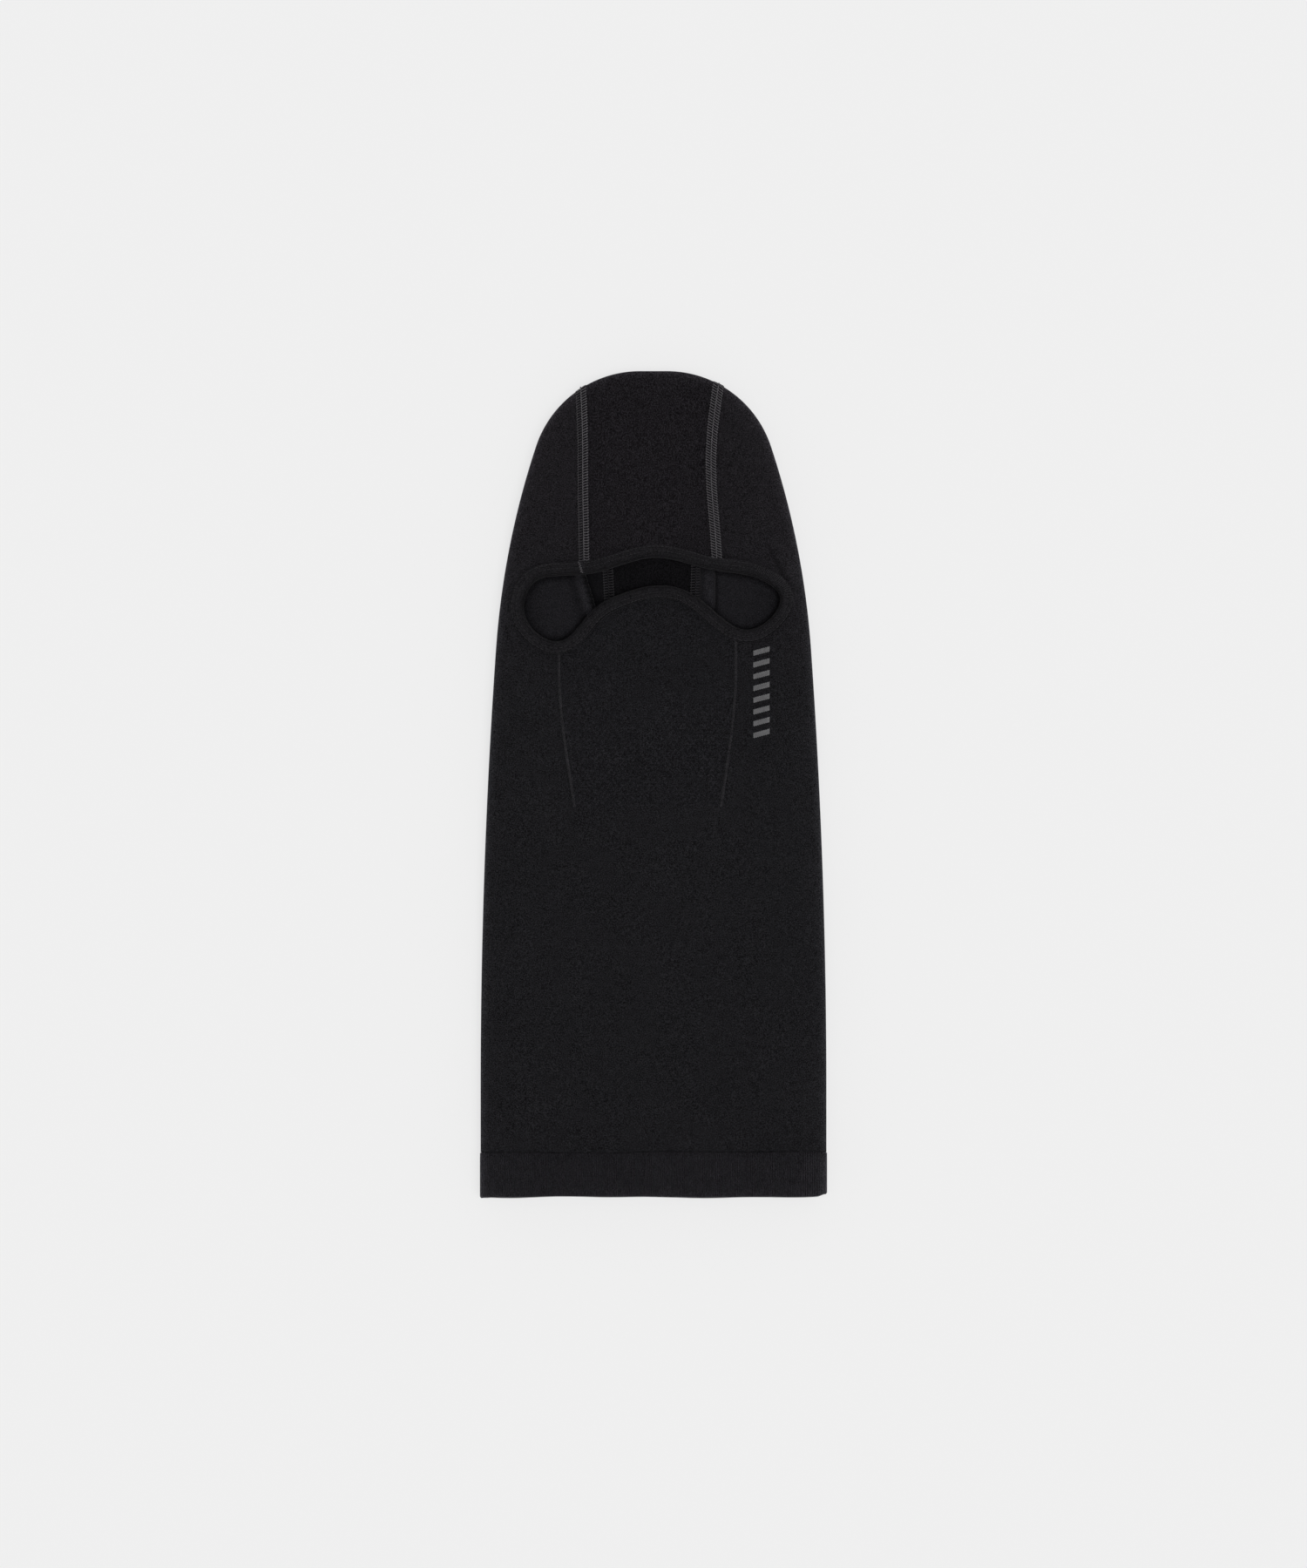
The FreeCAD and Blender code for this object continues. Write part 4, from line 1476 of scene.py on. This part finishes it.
@dataclass
class FaceBinding(Piece):
    """The tape folded over the opening's edge and stitched down in two rows.

    Attributes:
        width: how far the tape reaches out over the fabric.
        tape: the tape's own thickness.
        rows: each stitch row's distance from the opening's edge.
        pitch: the stitch length.
        loops: how many times the looper thread crosses and returns round the opening.
    """

    width: float = 7.4 * MM
    tape: float = 0.75 * MM
    rows: tuple[float, float] = (4.0 * MM, 6.6 * MM)
    pitch: float = 2.3 * MM
    loops: int = 210

    def lifted(self, along: Array, out: Array) -> Array:
        """How far the tape's outer face stands over the fabric at a distance from the edge.

        A full roll at the edge, a level middle, a dip at each stitch row and a thin outer rim.

        Args:
            along: distances round the opening, in metres.
            out: distances out from its edge, in metres.

        Returns:
            Heights over the fabric, in metres.
        """
        share = out / self.width
        body = 1.45 - 0.35 * smooth(share, 0.1, 0.6)
        for row in self.rows:
            body = body - 0.24 * bell(out, row, 0.42 * MM)
        crease = 0.1 * np.sin(along / (0.95 * MM) * 2 * math.pi + 2 * np.sin(along / (7 * MM)))
        ribs = crease * smooth(share, 0.05, 0.2) * (1 - smooth(share, 0.5, 0.6))
        slow = 0.12 * np.sin(along / (17 * MM)) + 0.08 * np.sin(along / (6.3 * MM) + 1)
        return (body + ribs + slow * smooth(share, 0.0, 0.3)) * MM

    def widths(self, along: Array) -> Array:
        """The tape's width round the opening, a little uneven."""
        return self.width + (0.25 * np.sin(along / (21 * MM)) + 0.18 * np.sin(along / (8 * MM) + 2)) * MM

    def shade(self, points: Array) -> Array:
        """How light the tape is at each point: painted shade down its rolled inner edge, where it turns
        into the opening.

        A painted shadow darkens the outer edge as well, by how far it looks down the garment.

        Args:
            points: (n, 3) positions, in metres.

        Returns:
            The share of the tape's tone with this painted shade and shadow.
        """
        line, out, run = self.opening.edge(420)
        apart = ((points[:, None, :2] - line[None]) ** 2).sum(-1)
        near = apart.argmin(1)
        gap = np.sqrt(apart.min(1))
        width = self.widths(run[near])
        # painted shadow along the outer edge, strongest where it faces down the garment
        rim = smooth(gap, width - 0.9 * MM, width - 0.2 * MM) * smooth(-out[near, 1], -0.3, 0.7)
        inside = self.opening.holds(points[:, 0], points[:, 1], 0.0)
        # painted shade on the roll, falling to 0.12 inside the opening
        roll = smooth(np.where(inside, -gap, gap), 0.15 * MM, 1.7 * MM)
        return (0.12 + 0.88 * roll) * (1 - 0.75 * rim)

    def on_top(self, along: Array, out: Array, extra: Array = 0.0) -> Array:
        """Points on the tape's outer face, at distances along the edge and out from it.

        Args:
            along: distances round the opening, in metres.
            out: distances out from its edge, in metres.
            extra: how far off the tape, in metres.

        Returns:
            Positions with a last axis of 3.
        """
        line, outward, run = self.opening.edge(2400)
        total = run[1] * len(run)
        k = np.mod(along, total) / run[1]
        i, f = np.floor(k).astype(int) % len(run), (k - np.floor(k))[..., None]
        j = (i + 1) % len(run)
        plan = line[i] * (1 - f) + line[j] * f
        way = outward[i] * (1 - f) + outward[j] * f
        plan = plan + way * out[..., None]
        return self.lay.place(plan[..., 0], plan[..., 1], Side.FRONT, self.lifted(along, out) + extra)

    def make(self, finish: bpy.types.Material) -> bpy.types.Object:
        """Sweeps the folded tape's profile round the opening.

        The profile runs in over the top from the outer rim, round the fold as a half ellipse, and
        out again underneath the fabric; a second line a tape's thickness inside closes it.

        Args:
            finish: the piece's material.

        Returns:
            The finished piece, put on the frame.
        """
        line, outward, run = self.opening.edge(1100)
        along = run[:, None]
        wide = self.widths(along)
        over = np.array([
            1.0, 0.985, 0.95, 0.9, 0.86, 0.8, 0.72, 0.64, 0.58, 0.54, 0.5, 0.42, 0.34, 0.26, 0.18, 0.1,
        ])
        out = wide * over[None]
        rim = np.zeros(over.size)
        rim[:3] = 0.8 * MM, 0.24 * MM, 0.04 * MM
        top = self.on_top(along + 0 * out, out, -rim[None])
        turn = np.linspace(0.25, math.pi, 8)[None]
        depth = (self.lay.fabric + 2 * self.tape) / 2 + 0.3 * MM
        fold_out = wide * 0.1 * np.cos(turn)
        fold_out = np.where(fold_out > 0, fold_out, fold_out * 0.4)
        fold_lift = 1.4 * MM - depth * (1 - np.cos(turn))
        under_out = wide * np.array([0.2, 0.5, 0.8, 0.95])[None]
        under_lift = np.full_like(under_out, -self.lay.fabric - self.tape)
        inner_out = wide * np.array([0.95, 0.6, 0.25])[None]
        inner_lift = np.full_like(inner_out, -self.lay.fabric - 0.12 * MM)
        core_out = wide * np.array([0.1, 0.1, 0.3, 0.6, 0.95])[None]
        core_lift = np.array([-0.9, 0.05, 0.06, 0.06, 0.03])[None] * MM + 0 * core_out
        outs = np.concatenate([fold_out, under_out, inner_out, core_out], 1)
        lifts = np.concatenate([fold_lift + 0 * fold_out, under_lift, inner_lift, core_lift], 1)
        plan = line[:, None] + outward[:, None] * outs[..., None]
        rest = self.lay.place(plan[..., 0], plan[..., 1], Side.FRONT, lifts)
        ring = np.concatenate([top, rest], 1)
        across = np.concatenate([out, outs], 1)
        uv = np.stack([np.broadcast_to(along, across.shape), across], -1)
        skin = Skin(self.shade)
        skin.grid(ring, uv, round_rows=True, round_cols=True)
        piece = skin.build("face_binding_tape", finish, 0.001 * MM)
        return self.fit(piece, "face_binding", "binding_tape")

    def stitches(self, finish: bpy.types.Material) -> bpy.types.Object:
        """The two rows of needle stitches: short threads that sink into the tape at each end.

        Where the tape was eased round the right-hand end, threads across it bunch it up.

        Args:
            finish: the piece's material.

        Returns:
            The finished piece, put on the frame.
        """
        total = float(self.opening.edge(400)[2][1] * 400)
        count = round(total / self.pitch)
        start = np.arange(count)[:, None] * total / count
        step = np.linspace(0.02, 0.86, 7)[None] * total / count
        arch = np.sin(np.linspace(0, math.pi, 7))[None] * 0.22 * MM - 0.08 * MM
        skin = Skin()
        for k, row in enumerate(self.rows):
            along = start + step + k * self.pitch / 2
            skin.tubes(self.on_top(along, np.full_like(along, row), arch + 0 * along), 0.15 * MM, 6)
        first, last = (self.nearest(*at) for at in ((60.0, 123.3), (75.6, 111.2)))
        along = np.linspace(first, last, 24)[:, None] + np.linspace(0.0, 0.5, 6)[None] * MM
        out = np.linspace(2.4, 7.2, 6)[None] * MM + 0 * along
        skin.tubes(self.on_top(along, out, 0.06 * MM), 0.16 * MM, 5)
        piece = skin.build("binding_needle_stitches", finish)
        return self.fit(piece, "binding_needle_threads", "seam_thread")

    def nearest(self, x: float, y: float) -> float:
        """The distance along the edge of its point nearest to a plan point in millimetres."""
        line, _, run = self.opening.edge(2400)
        return float(run[np.argmin(np.hypot(line[:, 0] - x * MM, line[:, 1] - y * MM))])

    def looper(self, finish: bpy.types.Material) -> bpy.types.Object:
        """The looper thread inside: it crosses from row to row once in each stitch.

        Args:
            finish: the piece's material.

        Returns:
            The finished piece, put on the frame.
        """
        line, outward, run = self.opening.edge(self.loops * 8)
        phase = 2 * math.pi * self.loops * run / (run[1] * len(run))
        middle, reach = sum(self.rows) / 2, (self.rows[1] - self.rows[0]) / 2
        plan = line + outward * (middle + reach * np.sin(phase))[:, None]
        path = self.lay.place(plan[:, 0], plan[:, 1], Side.FRONT, -self.lay.fabric - self.tape - 0.1 * MM)
        skin = Skin()
        skin.tubes(path[None], 0.13 * MM, 6, closed=True)
        piece = skin.build("binding_looper_stitches", finish)
        return self.fit(piece, "binding_looper_thread", "seam_thread")

    def join(self, finish: bpy.types.Material) -> bpy.types.Object:
        """The tack where the tape's two ends meet: a tight zigzag across the tape.

        Args:
            finish: the piece's material.

        Returns:
            The finished piece, put on the frame.
        """
        at = self.nearest(-42.4, 125.5)
        part = np.linspace(0, 1, 97)
        out = (0.6 + 6.9 * part) * MM
        swing = np.sin(part * 5 * 2 * math.pi)
        along = at + (0.6 * swing - 1.4 * part) * MM
        bow = (0.12 + 0.12 * np.cos(part * 10 * 2 * math.pi)) * MM
        skin = Skin()
        skin.tubes(self.on_top(along, out, bow)[None], 0.16 * MM, 6)
        piece = skin.build("binding_join_stitches", finish)
        return self.fit(piece, "binding_join_tack", "seam_thread")


# ---------------------------------------------------------------------------------- the flat seams


@dataclass
class FlatSeam(Piece):
    """One flat seam: from under the tape, over the crown, down the back to the nape.

    Attributes:
        left: whether it is the wearer's right-hand seam, at negative x.
        width: how wide the cover threads spread.
        pitch: the stitch length.
        slant: how far a rung drops towards +x, for each unit across.
        rows: the four needle rows' distances from the seam's middle.
    """

    left: bool
    width: float = 6.6 * MM
    pitch: float = 1.6 * MM
    slant: float = 0.0
    rows: tuple[float, float, float, float] = (-2.85 * MM, -0.95 * MM, 0.95 * MM, 2.85 * MM)

    @property
    def side(self) -> str:
        """The word for its side in the names of its pieces."""
        return "left" if self.left else "right"

    def track(self) -> tuple[Array, Array]:
        """Samples down the seam's middle.

        The parameter goes from 0 at the tape to 1 on the crown's fold and 2 at the nape, and is
        spaced through the fold by the sine of even angles.

        Returns:
            The parameter of each sample, and the length run to it.
        """
        flat = np.linspace(0, 0.93, 1200)[:-1]
        fold = 1 - 0.07 * (1 - np.sin(np.linspace(0, math.pi / 2, 120)))
        half = np.concatenate([flat, fold])
        part = np.concatenate([half, 2 - half[::-1][1:]])
        points = self.at(part, np.zeros_like(part), 0.0)
        run = np.linalg.norm(np.diff(points, axis=0, prepend=points[:1]), axis=-1).cumsum()
        return part, run

    def at(self, part: Array, across: Array, lift: Array) -> Array:
        """Points on the seam at a parameter, a distance across it, and a lift off the fabric.

        The front half and the back half each stretch the crown's height above x + across to the
        seam's end, so that a rung bends with the fold.

        Args:
            part: the parameter, 0 at the tape, 1 on the crown, 2 at the nape.
            across: distances to +x of the seam's middle, in metres.
            lift: how far off the fabric, in metres.

        Returns:
            Positions with a last axis of 3.
        """
        front, back, _ = lines(self.left)
        outline = self.lay.outline
        start = self.opening.height_at(front.x(134 * MM) + across, True, 3.0 * MM)
        share_front, share_back = np.clip(part, 0, 1), np.clip(2 - part, 0, 1)
        end = 237 * MM
        fy = start + (end - start) * share_front
        by = NAPE + (end - NAPE) * share_back
        is_front = part <= 1
        x = np.where(is_front, front.x(fy), back.x(by)) + across
        top = outline.crown(x)
        y = np.where(is_front, start + (top - start) * share_front, NAPE + (top - NAPE) * share_back)
        return self.lay.place(x, y, np.where(is_front, 1.0, -1.0), lift)

    def along(self, length: Array, across: Array, lift: Array) -> Array:
        """Points at a length run down the seam, by looking the parameter up in the track.

        Args:
            length: the length run from the tape, in metres.
            across: distances to +x of the seam's middle, in metres.
            lift: how far off the fabric, in metres.

        Returns:
            Positions with a last axis of 3.
        """
        part, run = self.track()
        length, across, lift = np.broadcast_arrays(length, across, lift)
        return self.at(np.interp(length, run, part), across, lift)

    def length(self) -> float:
        """The whole seam's length."""
        return float(self.track()[1][-1])

    def rungs(self, base: float, thick: tuple[float, float], ridge: float) -> Skin:
        """The threads that cross the seam, two to a stitch, either side of a row of knots.

        Args:
            base: how far off the fabric the threads lie.
            thick: the radii of the left half's and the right half's threads, in millimetres.
            ridge: the radius of the knots' thread, in millimetres.

        Returns:
            The mesh that they are in.
        """
        skin = Skin()
        total = self.length()
        count = int(total / self.pitch)
        start = (np.arange(count) + 0.5)[:, None] * self.pitch
        half = self.width / 2
        for sign, radius in zip((-1, 1), thick):
            part = np.linspace(0, 1, 8)[None]
            across = sign * half * (0.08 + 0.92 * part) + 0 * start
            low_end = np.exp(-start / (14 * MM)) if self.left else 0.0 * start
            bow = 0.5 * self.pitch * low_end * np.sin(part * math.pi)
            arch = base + 0.14 * MM * np.sin(part * math.pi) + 0 * start
            thickness = radius * MM * (0.8 + 0.2 * np.sin(part * math.pi) + 0 * start)
            skin.tubes(self.along(start - across * self.slant - bow, across, arch), thickness, 5)
            loop = np.linspace(0, 1, 6)[None]
            edge = sign * half * (1.0 - 0.22 * np.sin(loop * math.pi)) + 0 * start
            length = start - edge * self.slant + (loop - 0.05) * self.pitch
            skin.tubes(self.along(length, edge, base + 0 * edge), 0.11 * MM, 4)
        part = np.linspace(-1, 1, 7)[None]
        for lean in (-1, 1):
            across = (0.12 + lean * 0.42 * part) * MM + 0 * start
            length = start + (0.18 * lean - 0.32 * part) * self.pitch
            height = base + (0.2 + 0.22 * np.cos(part * math.pi / 2) + 0.08 * lean) * MM + 0 * start
            thickness = ridge * MM * (0.7 + 0.3 * np.cos(part * math.pi / 2)) + 0 * start
            skin.tubes(self.along(length, across, height), thickness, 5)
        return skin

    def needles(self, finish: bpy.types.Material) -> bpy.types.Object:
        """The four needle threads: a row of short stitches each, sunk at their ends.

        Args:
            finish: the piece's material.

        Returns:
            The finished piece, put on the frame.
        """
        count = int(self.length() / self.pitch)
        start = np.arange(count)[:, None] * self.pitch
        step = np.linspace(0.04, 0.9, 5)[None] * self.pitch
        arch = np.sin(np.linspace(0, math.pi, 5))[None] * 0.2 * MM
        skin = Skin()
        for across in self.rows:
            length = start + step - across * self.slant
            skin.tubes(self.along(length, across, 0.1 * MM + arch), 0.14 * MM, 5)
        piece = skin.build(f"seam_{self.side}_needle_stitches", finish)
        return self.fit(piece, f"seam_{self.side}_needle_threads", "seam_thread")

    def covers(
        self, finish: bpy.types.Material, inner: bpy.types.Material
    ) -> list[bpy.types.Object]:
        """The cover threads outside and the looper threads inside.

        Args:
            finish: the outside threads' material.
            inner: the inside threads' material.

        Returns:
            The two finished pieces, outside first.
        """
        outside = self.rungs(0.22 * MM, (0.14, 0.32) if self.left else (0.3, 0.3), 0.32)
        inside = self.rungs(-self.lay.fabric - 0.3 * MM, (0.27, 0.27), 0.22)
        pieces = []
        for skin, kind, yarn in ((outside, "cover", finish), (inside, "looper", inner)):
            piece = skin.build(f"seam_{self.side}_{kind}_stitches", yarn)
            pieces.append(self.fit(piece, f"seam_{self.side}_{kind}_threads", "seam_thread"))
        return pieces


def nape_tack(lay: Lay, finish: bpy.types.Material) -> bpy.types.Object:
    """The bar of close zigzag stitches that locks both seams' ends at the nape.

    Args:
        lay: the surfaces that it lies on.
        finish: the piece's material.

    Returns:
        The finished piece, put on the frame.
    """
    part = np.linspace(0, 1, 121)
    x = (-4 + 8 * part) * MM
    y = NAPE - 0.2 * MM + 0.75 * MM * np.sin(part * 20 * 2 * math.pi)
    skin = Skin()
    skin.tubes(lay.place(x, y, Side.BACK, 0.2 * MM)[None], 0.2 * MM, 6)
    return Piece(lay).fit(skin.build("nape_tack_stitches", finish), "nape_tack", "seam_thread")


@dataclass
class KnittedMark(Piece):
    """A plain column of slanted knitted dashes at the side of the neck.

    Attributes:
        x: the column's middle.
        first: the lowest dash's height.
        pitch: the distance from dash to dash.
        size: a dash's length and height.
        bars: how many dashes there are.
        slant: how far a dash rises for each unit across.
        wale: the width of one stitch.
        course: the height of one stitch.
    """

    x: float = 64.2 * MM
    first: float = 29.9 * MM
    pitch: float = 7.0 * MM
    size: tuple[float, float] = (9.6 * MM, 3.0 * MM)
    bars: int = 8
    slant: float = 0.27
    wale: float = 1.2 * MM
    course: float = 0.75 * MM

    def make(self, finish: bpy.types.Material) -> bpy.types.Object:
        """Lays every stitch as a V of two short legs, in rows and columns, in each dash.

        Args:
            finish: the piece's material.

        Returns:
            The finished piece, put on the frame.
        """
        wales, courses = round(self.size[0] / self.wale), round(self.size[1] / self.course)
        bar, col, row, leg = np.meshgrid(
            np.arange(self.bars), np.arange(wales), np.arange(courses), (-1.0, 1.0), indexing="ij"
        )
        bar, col, row, leg = (v.reshape(-1, 1) for v in (bar, col, row, leg))
        part = np.linspace(0, 1, 5)[None]
        x = (col + 0.5) * self.wale - self.size[0] / 2 + leg * self.wale * (0.08 + 0.36 * part)
        y = row * self.course - self.size[1] / 2 + self.course * (0.1 + 1.25 * part)
        y = y + self.first + bar * self.pitch + x * self.slant
        lift = (0.08 + 0.2 * np.sin(part * math.pi)) * MM
        skin = Skin()
        skin.tubes(self.lay.place(x + self.x, y, Side.FRONT, lift + 0 * x), 0.26 * MM, 6)
        piece = skin.build("knitted_mark_stitches", finish)
        return self.fit(piece, "knitted_mark", "mark_yarn")


# ---------------------------------------------------------------------------------- studio


@dataclass(frozen=True)
class Studio:
    """The pale floor, the soft light and the camera that looks straight down.

    Attributes:
        level: how bright the floor's glow is.
        glow: which share of the floor glows; the rest takes light and shadow.
        size: half of the floor's width, in metres.
        sky: the tent's brightness overhead.
        walls: the tent's brightness near the horizon.
        rise: the sines of the heights between which the one turns into the other.
        lamp: the lamp's strength.
        spread: how wide the lamp looks, in degrees.
        lean: how far the lamp leans from straight down about x and y, in degrees.
        lens: the camera's focal length in millimetres, on a 36 mm sensor.
        distance: how far the camera hangs over the part, in metres.
    """

    level: float = 0.932
    glow: float = 0.75
    size: float = 6.0
    sky: float = 0.42
    walls: float = 3.4
    rise: tuple[float, float] = (0.12, 0.34)
    lamp: float = 0.95
    spread: float = 50.0
    lean: tuple[float, float] = (14.0, 30.0)
    lens: float = 84.6
    distance: float = 2.2

    def floor(self) -> None:
        """Lays a level floor that partly glows, so that shadows on it stay light and short."""
        skin = Skin()
        side = np.linspace(-self.size, self.size, 5)
        x, y = np.meshgrid(side, side)
        points = np.stack([x, y, np.full_like(x, -0.05 * MM)], -1)
        g = Graph("studio_floor")
        at = g.object_at()
        grain = g.noise(at, 900.0, 2.0)
        shade = g.math("ADD", g.math("MULTIPLY", g.math("SUBTRACT", grain, 0.5), 0.004), 0.8)
        colour = g.node("ShaderNodeCombineColor", {0: shade, 1: shade, 2: shade}).outputs[0]
        matte = g.node("ShaderNodeBsdfDiffuse", {"Color": colour}).outputs[0]
        glow = g.node("ShaderNodeEmission", {"Color": (1, 1, 1, 1), "Strength": self.level}).outputs[0]
        mix = g.node("ShaderNodeMixShader", {0: self.glow, 1: matte, 2: glow}).outputs[0]
        output = g.node("ShaderNodeOutputMaterial", {})
        g.tree.links.new(mix, output.inputs["Surface"])
        skin.grid(points, points[..., :2])
        skin.build("floor", g.material)

    def light(self) -> None:
        """Sets a white tent with bright walls and a dimmer top, and one very soft lamp.

        The tent's strength steps smoothly from the walls' to the top's with the sine of the
        height above the horizon.
        """
        world = bpy.data.worlds.new("studio")
        bpy.context.scene.world = world
        world.use_nodes = True
        tree = world.node_tree
        background = tree.nodes["Background"]
        background.inputs["Color"].default_value = (1, 1, 1, 1)
        towards = tree.nodes.new("ShaderNodeTexCoord")
        split = tree.nodes.new("ShaderNodeSeparateXYZ")
        walls = tree.nodes.new("ShaderNodeMapRange")
        walls.interpolation_type = "SMOOTHSTEP"
        for key, value in enumerate((*self.rise, self.walls, self.sky), start=1):
            walls.inputs[key].default_value = value
        tree.links.new(towards.outputs["Generated"], split.inputs[0])
        tree.links.new(split.outputs[2], walls.inputs[0])
        tree.links.new(walls.outputs[0], background.inputs["Strength"])
        lamp = bpy.data.lights.new("lamp", "SUN")
        lamp.energy = self.lamp
        lamp.angle = math.radians(self.spread)
        holder = bpy.data.objects.new("lamp", lamp)
        holder.rotation_euler = (*(math.radians(turn) for turn in self.lean), 0)
        bpy.context.scene.collection.objects.link(holder)

    def camera(self) -> None:
        """Hangs the camera over the middle, looking straight down with +Y up."""
        data = bpy.data.cameras.new("camera")
        data.sensor_width = 36.0
        data.lens = self.lens
        data.clip_start, data.clip_end = 0.1, 50.0
        camera = bpy.data.objects.new("camera", data)
        camera.location = (0.0, 0.0, self.distance)
        bpy.context.scene.collection.objects.link(camera)
        bpy.context.scene.camera = camera
        bpy.context.scene.view_settings.view_transform = "Standard"


# ---------------------------------------------------------------------------------- building


def main() -> None:
    """Builds every piece in order, then the studio."""
    logging.basicConfig(level=logging.INFO, format="%(name)s: %(message)s")
    low, high = (list(corner) for corner in CAD_BOX)
    tube_low, tube_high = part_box("knit_tube")
    lay = Lay(Outline(top=high[1], half=tube_high[0]), Opening())
    hood = Knit("hood_knit", (0.0184, 0.0168, 0.0195), lower=(0.0162, 0.0160, 0.0180))
    lining = Knit(
        "hood_lining", (0.0215, 0.0208, 0.0240), wale=1.25 * MM, rib=0.6, grain=3.0, sheen=0.1,
        face="inner",
    )
    gusset = Knit("gusset_knit", (0.0160, 0.0145, 0.0170), wale=1.25 * MM, rib=0.9, streak=1.7)
    # painted shade: the gusset's lining is coloured darker than its outside, for the shade deep inside the
    # opening
    gusset_lining_painted_shade = Knit(
        "gusset_lining_painted_shade", (0.0105, 0.0100, 0.0115), wale=1.25 * MM, rib=1.0, streak=1.6, grain=3.4,
        sheen=0.05,
    )
    vent = Knit("vent_knit", (0.0155, 0.0153, 0.0174), wale=0.84 * MM, course=0.7 * MM)
    rib = Knit(
        "hem_rib_knit", (0.0255, 0.0243, 0.0282), wale=1.09 * MM, course=0.7 * MM, deep=0.4, rib=0.7
    )
    tape = Knit(
        "binding_tape", (0.0195, 0.0186, 0.0208), wale=0.62 * MM, course=0.62 * MM, slope=0.3,
        grain=3.4, sheen=0.1,
    )
    # painted highlight: the beads are coloured lighter than the vent, in place of sheen on their raised
    # tops
    bead = Knit("vent_rib_knit", (0.0300, 0.0292, 0.0320), grain=3.0, sheen=0.05)
    thread = Yarn("seam_thread", (0.115, 0.110, 0.118)).make()
    dim = Yarn("looper_thread", (0.052, 0.050, 0.054)).make()
    fine = Yarn("stitch_thread", (0.034, 0.033, 0.036)).make()
    # partly painted shadow: the real linking thread is coloured darker than the yarn, for the shadow in the
    # groove along the hem's seam
    dark = Yarn("linking_thread", (0.006, 0.006, 0.007)).make()
    grey = Yarn("mark_yarn", (0.22, 0.22, 0.225), ply=0.6 * MM).make()
    bead_finish = bead.make()
    HoodTube(lay, hem_top=tube_low[1]).make(hood.make(), lining.make())
    CrownGusset(lay).make(gusset.make(), gusset_lining_painted_shade.make())
    mouth = MouthVent(lay)
    mouth.make(vent.make())
    for left in (True, False):
        mouth.rib(left, bead_finish)
        seam = FlatSeam(lay, left, slant=0.0 if left else 0.21)
        seam.covers(thread, dim)
        seam.needles(fine)
    band = HemBand(lay, top=tube_low[1], bottom=low[1])
    band.make(rib.make())
    band.chain(dark)
    binding = FaceBinding(lay)
    binding.make(tape.make())
    binding.stitches(fine)
    binding.looper(fine)
    binding.join(thread)
    nape_tack(lay, thread)
    KnittedMark(lay).make(grey)
    studio = Studio()
    studio.floor()
    studio.light()
    studio.camera()


if __name__ == "__main__":
    main()
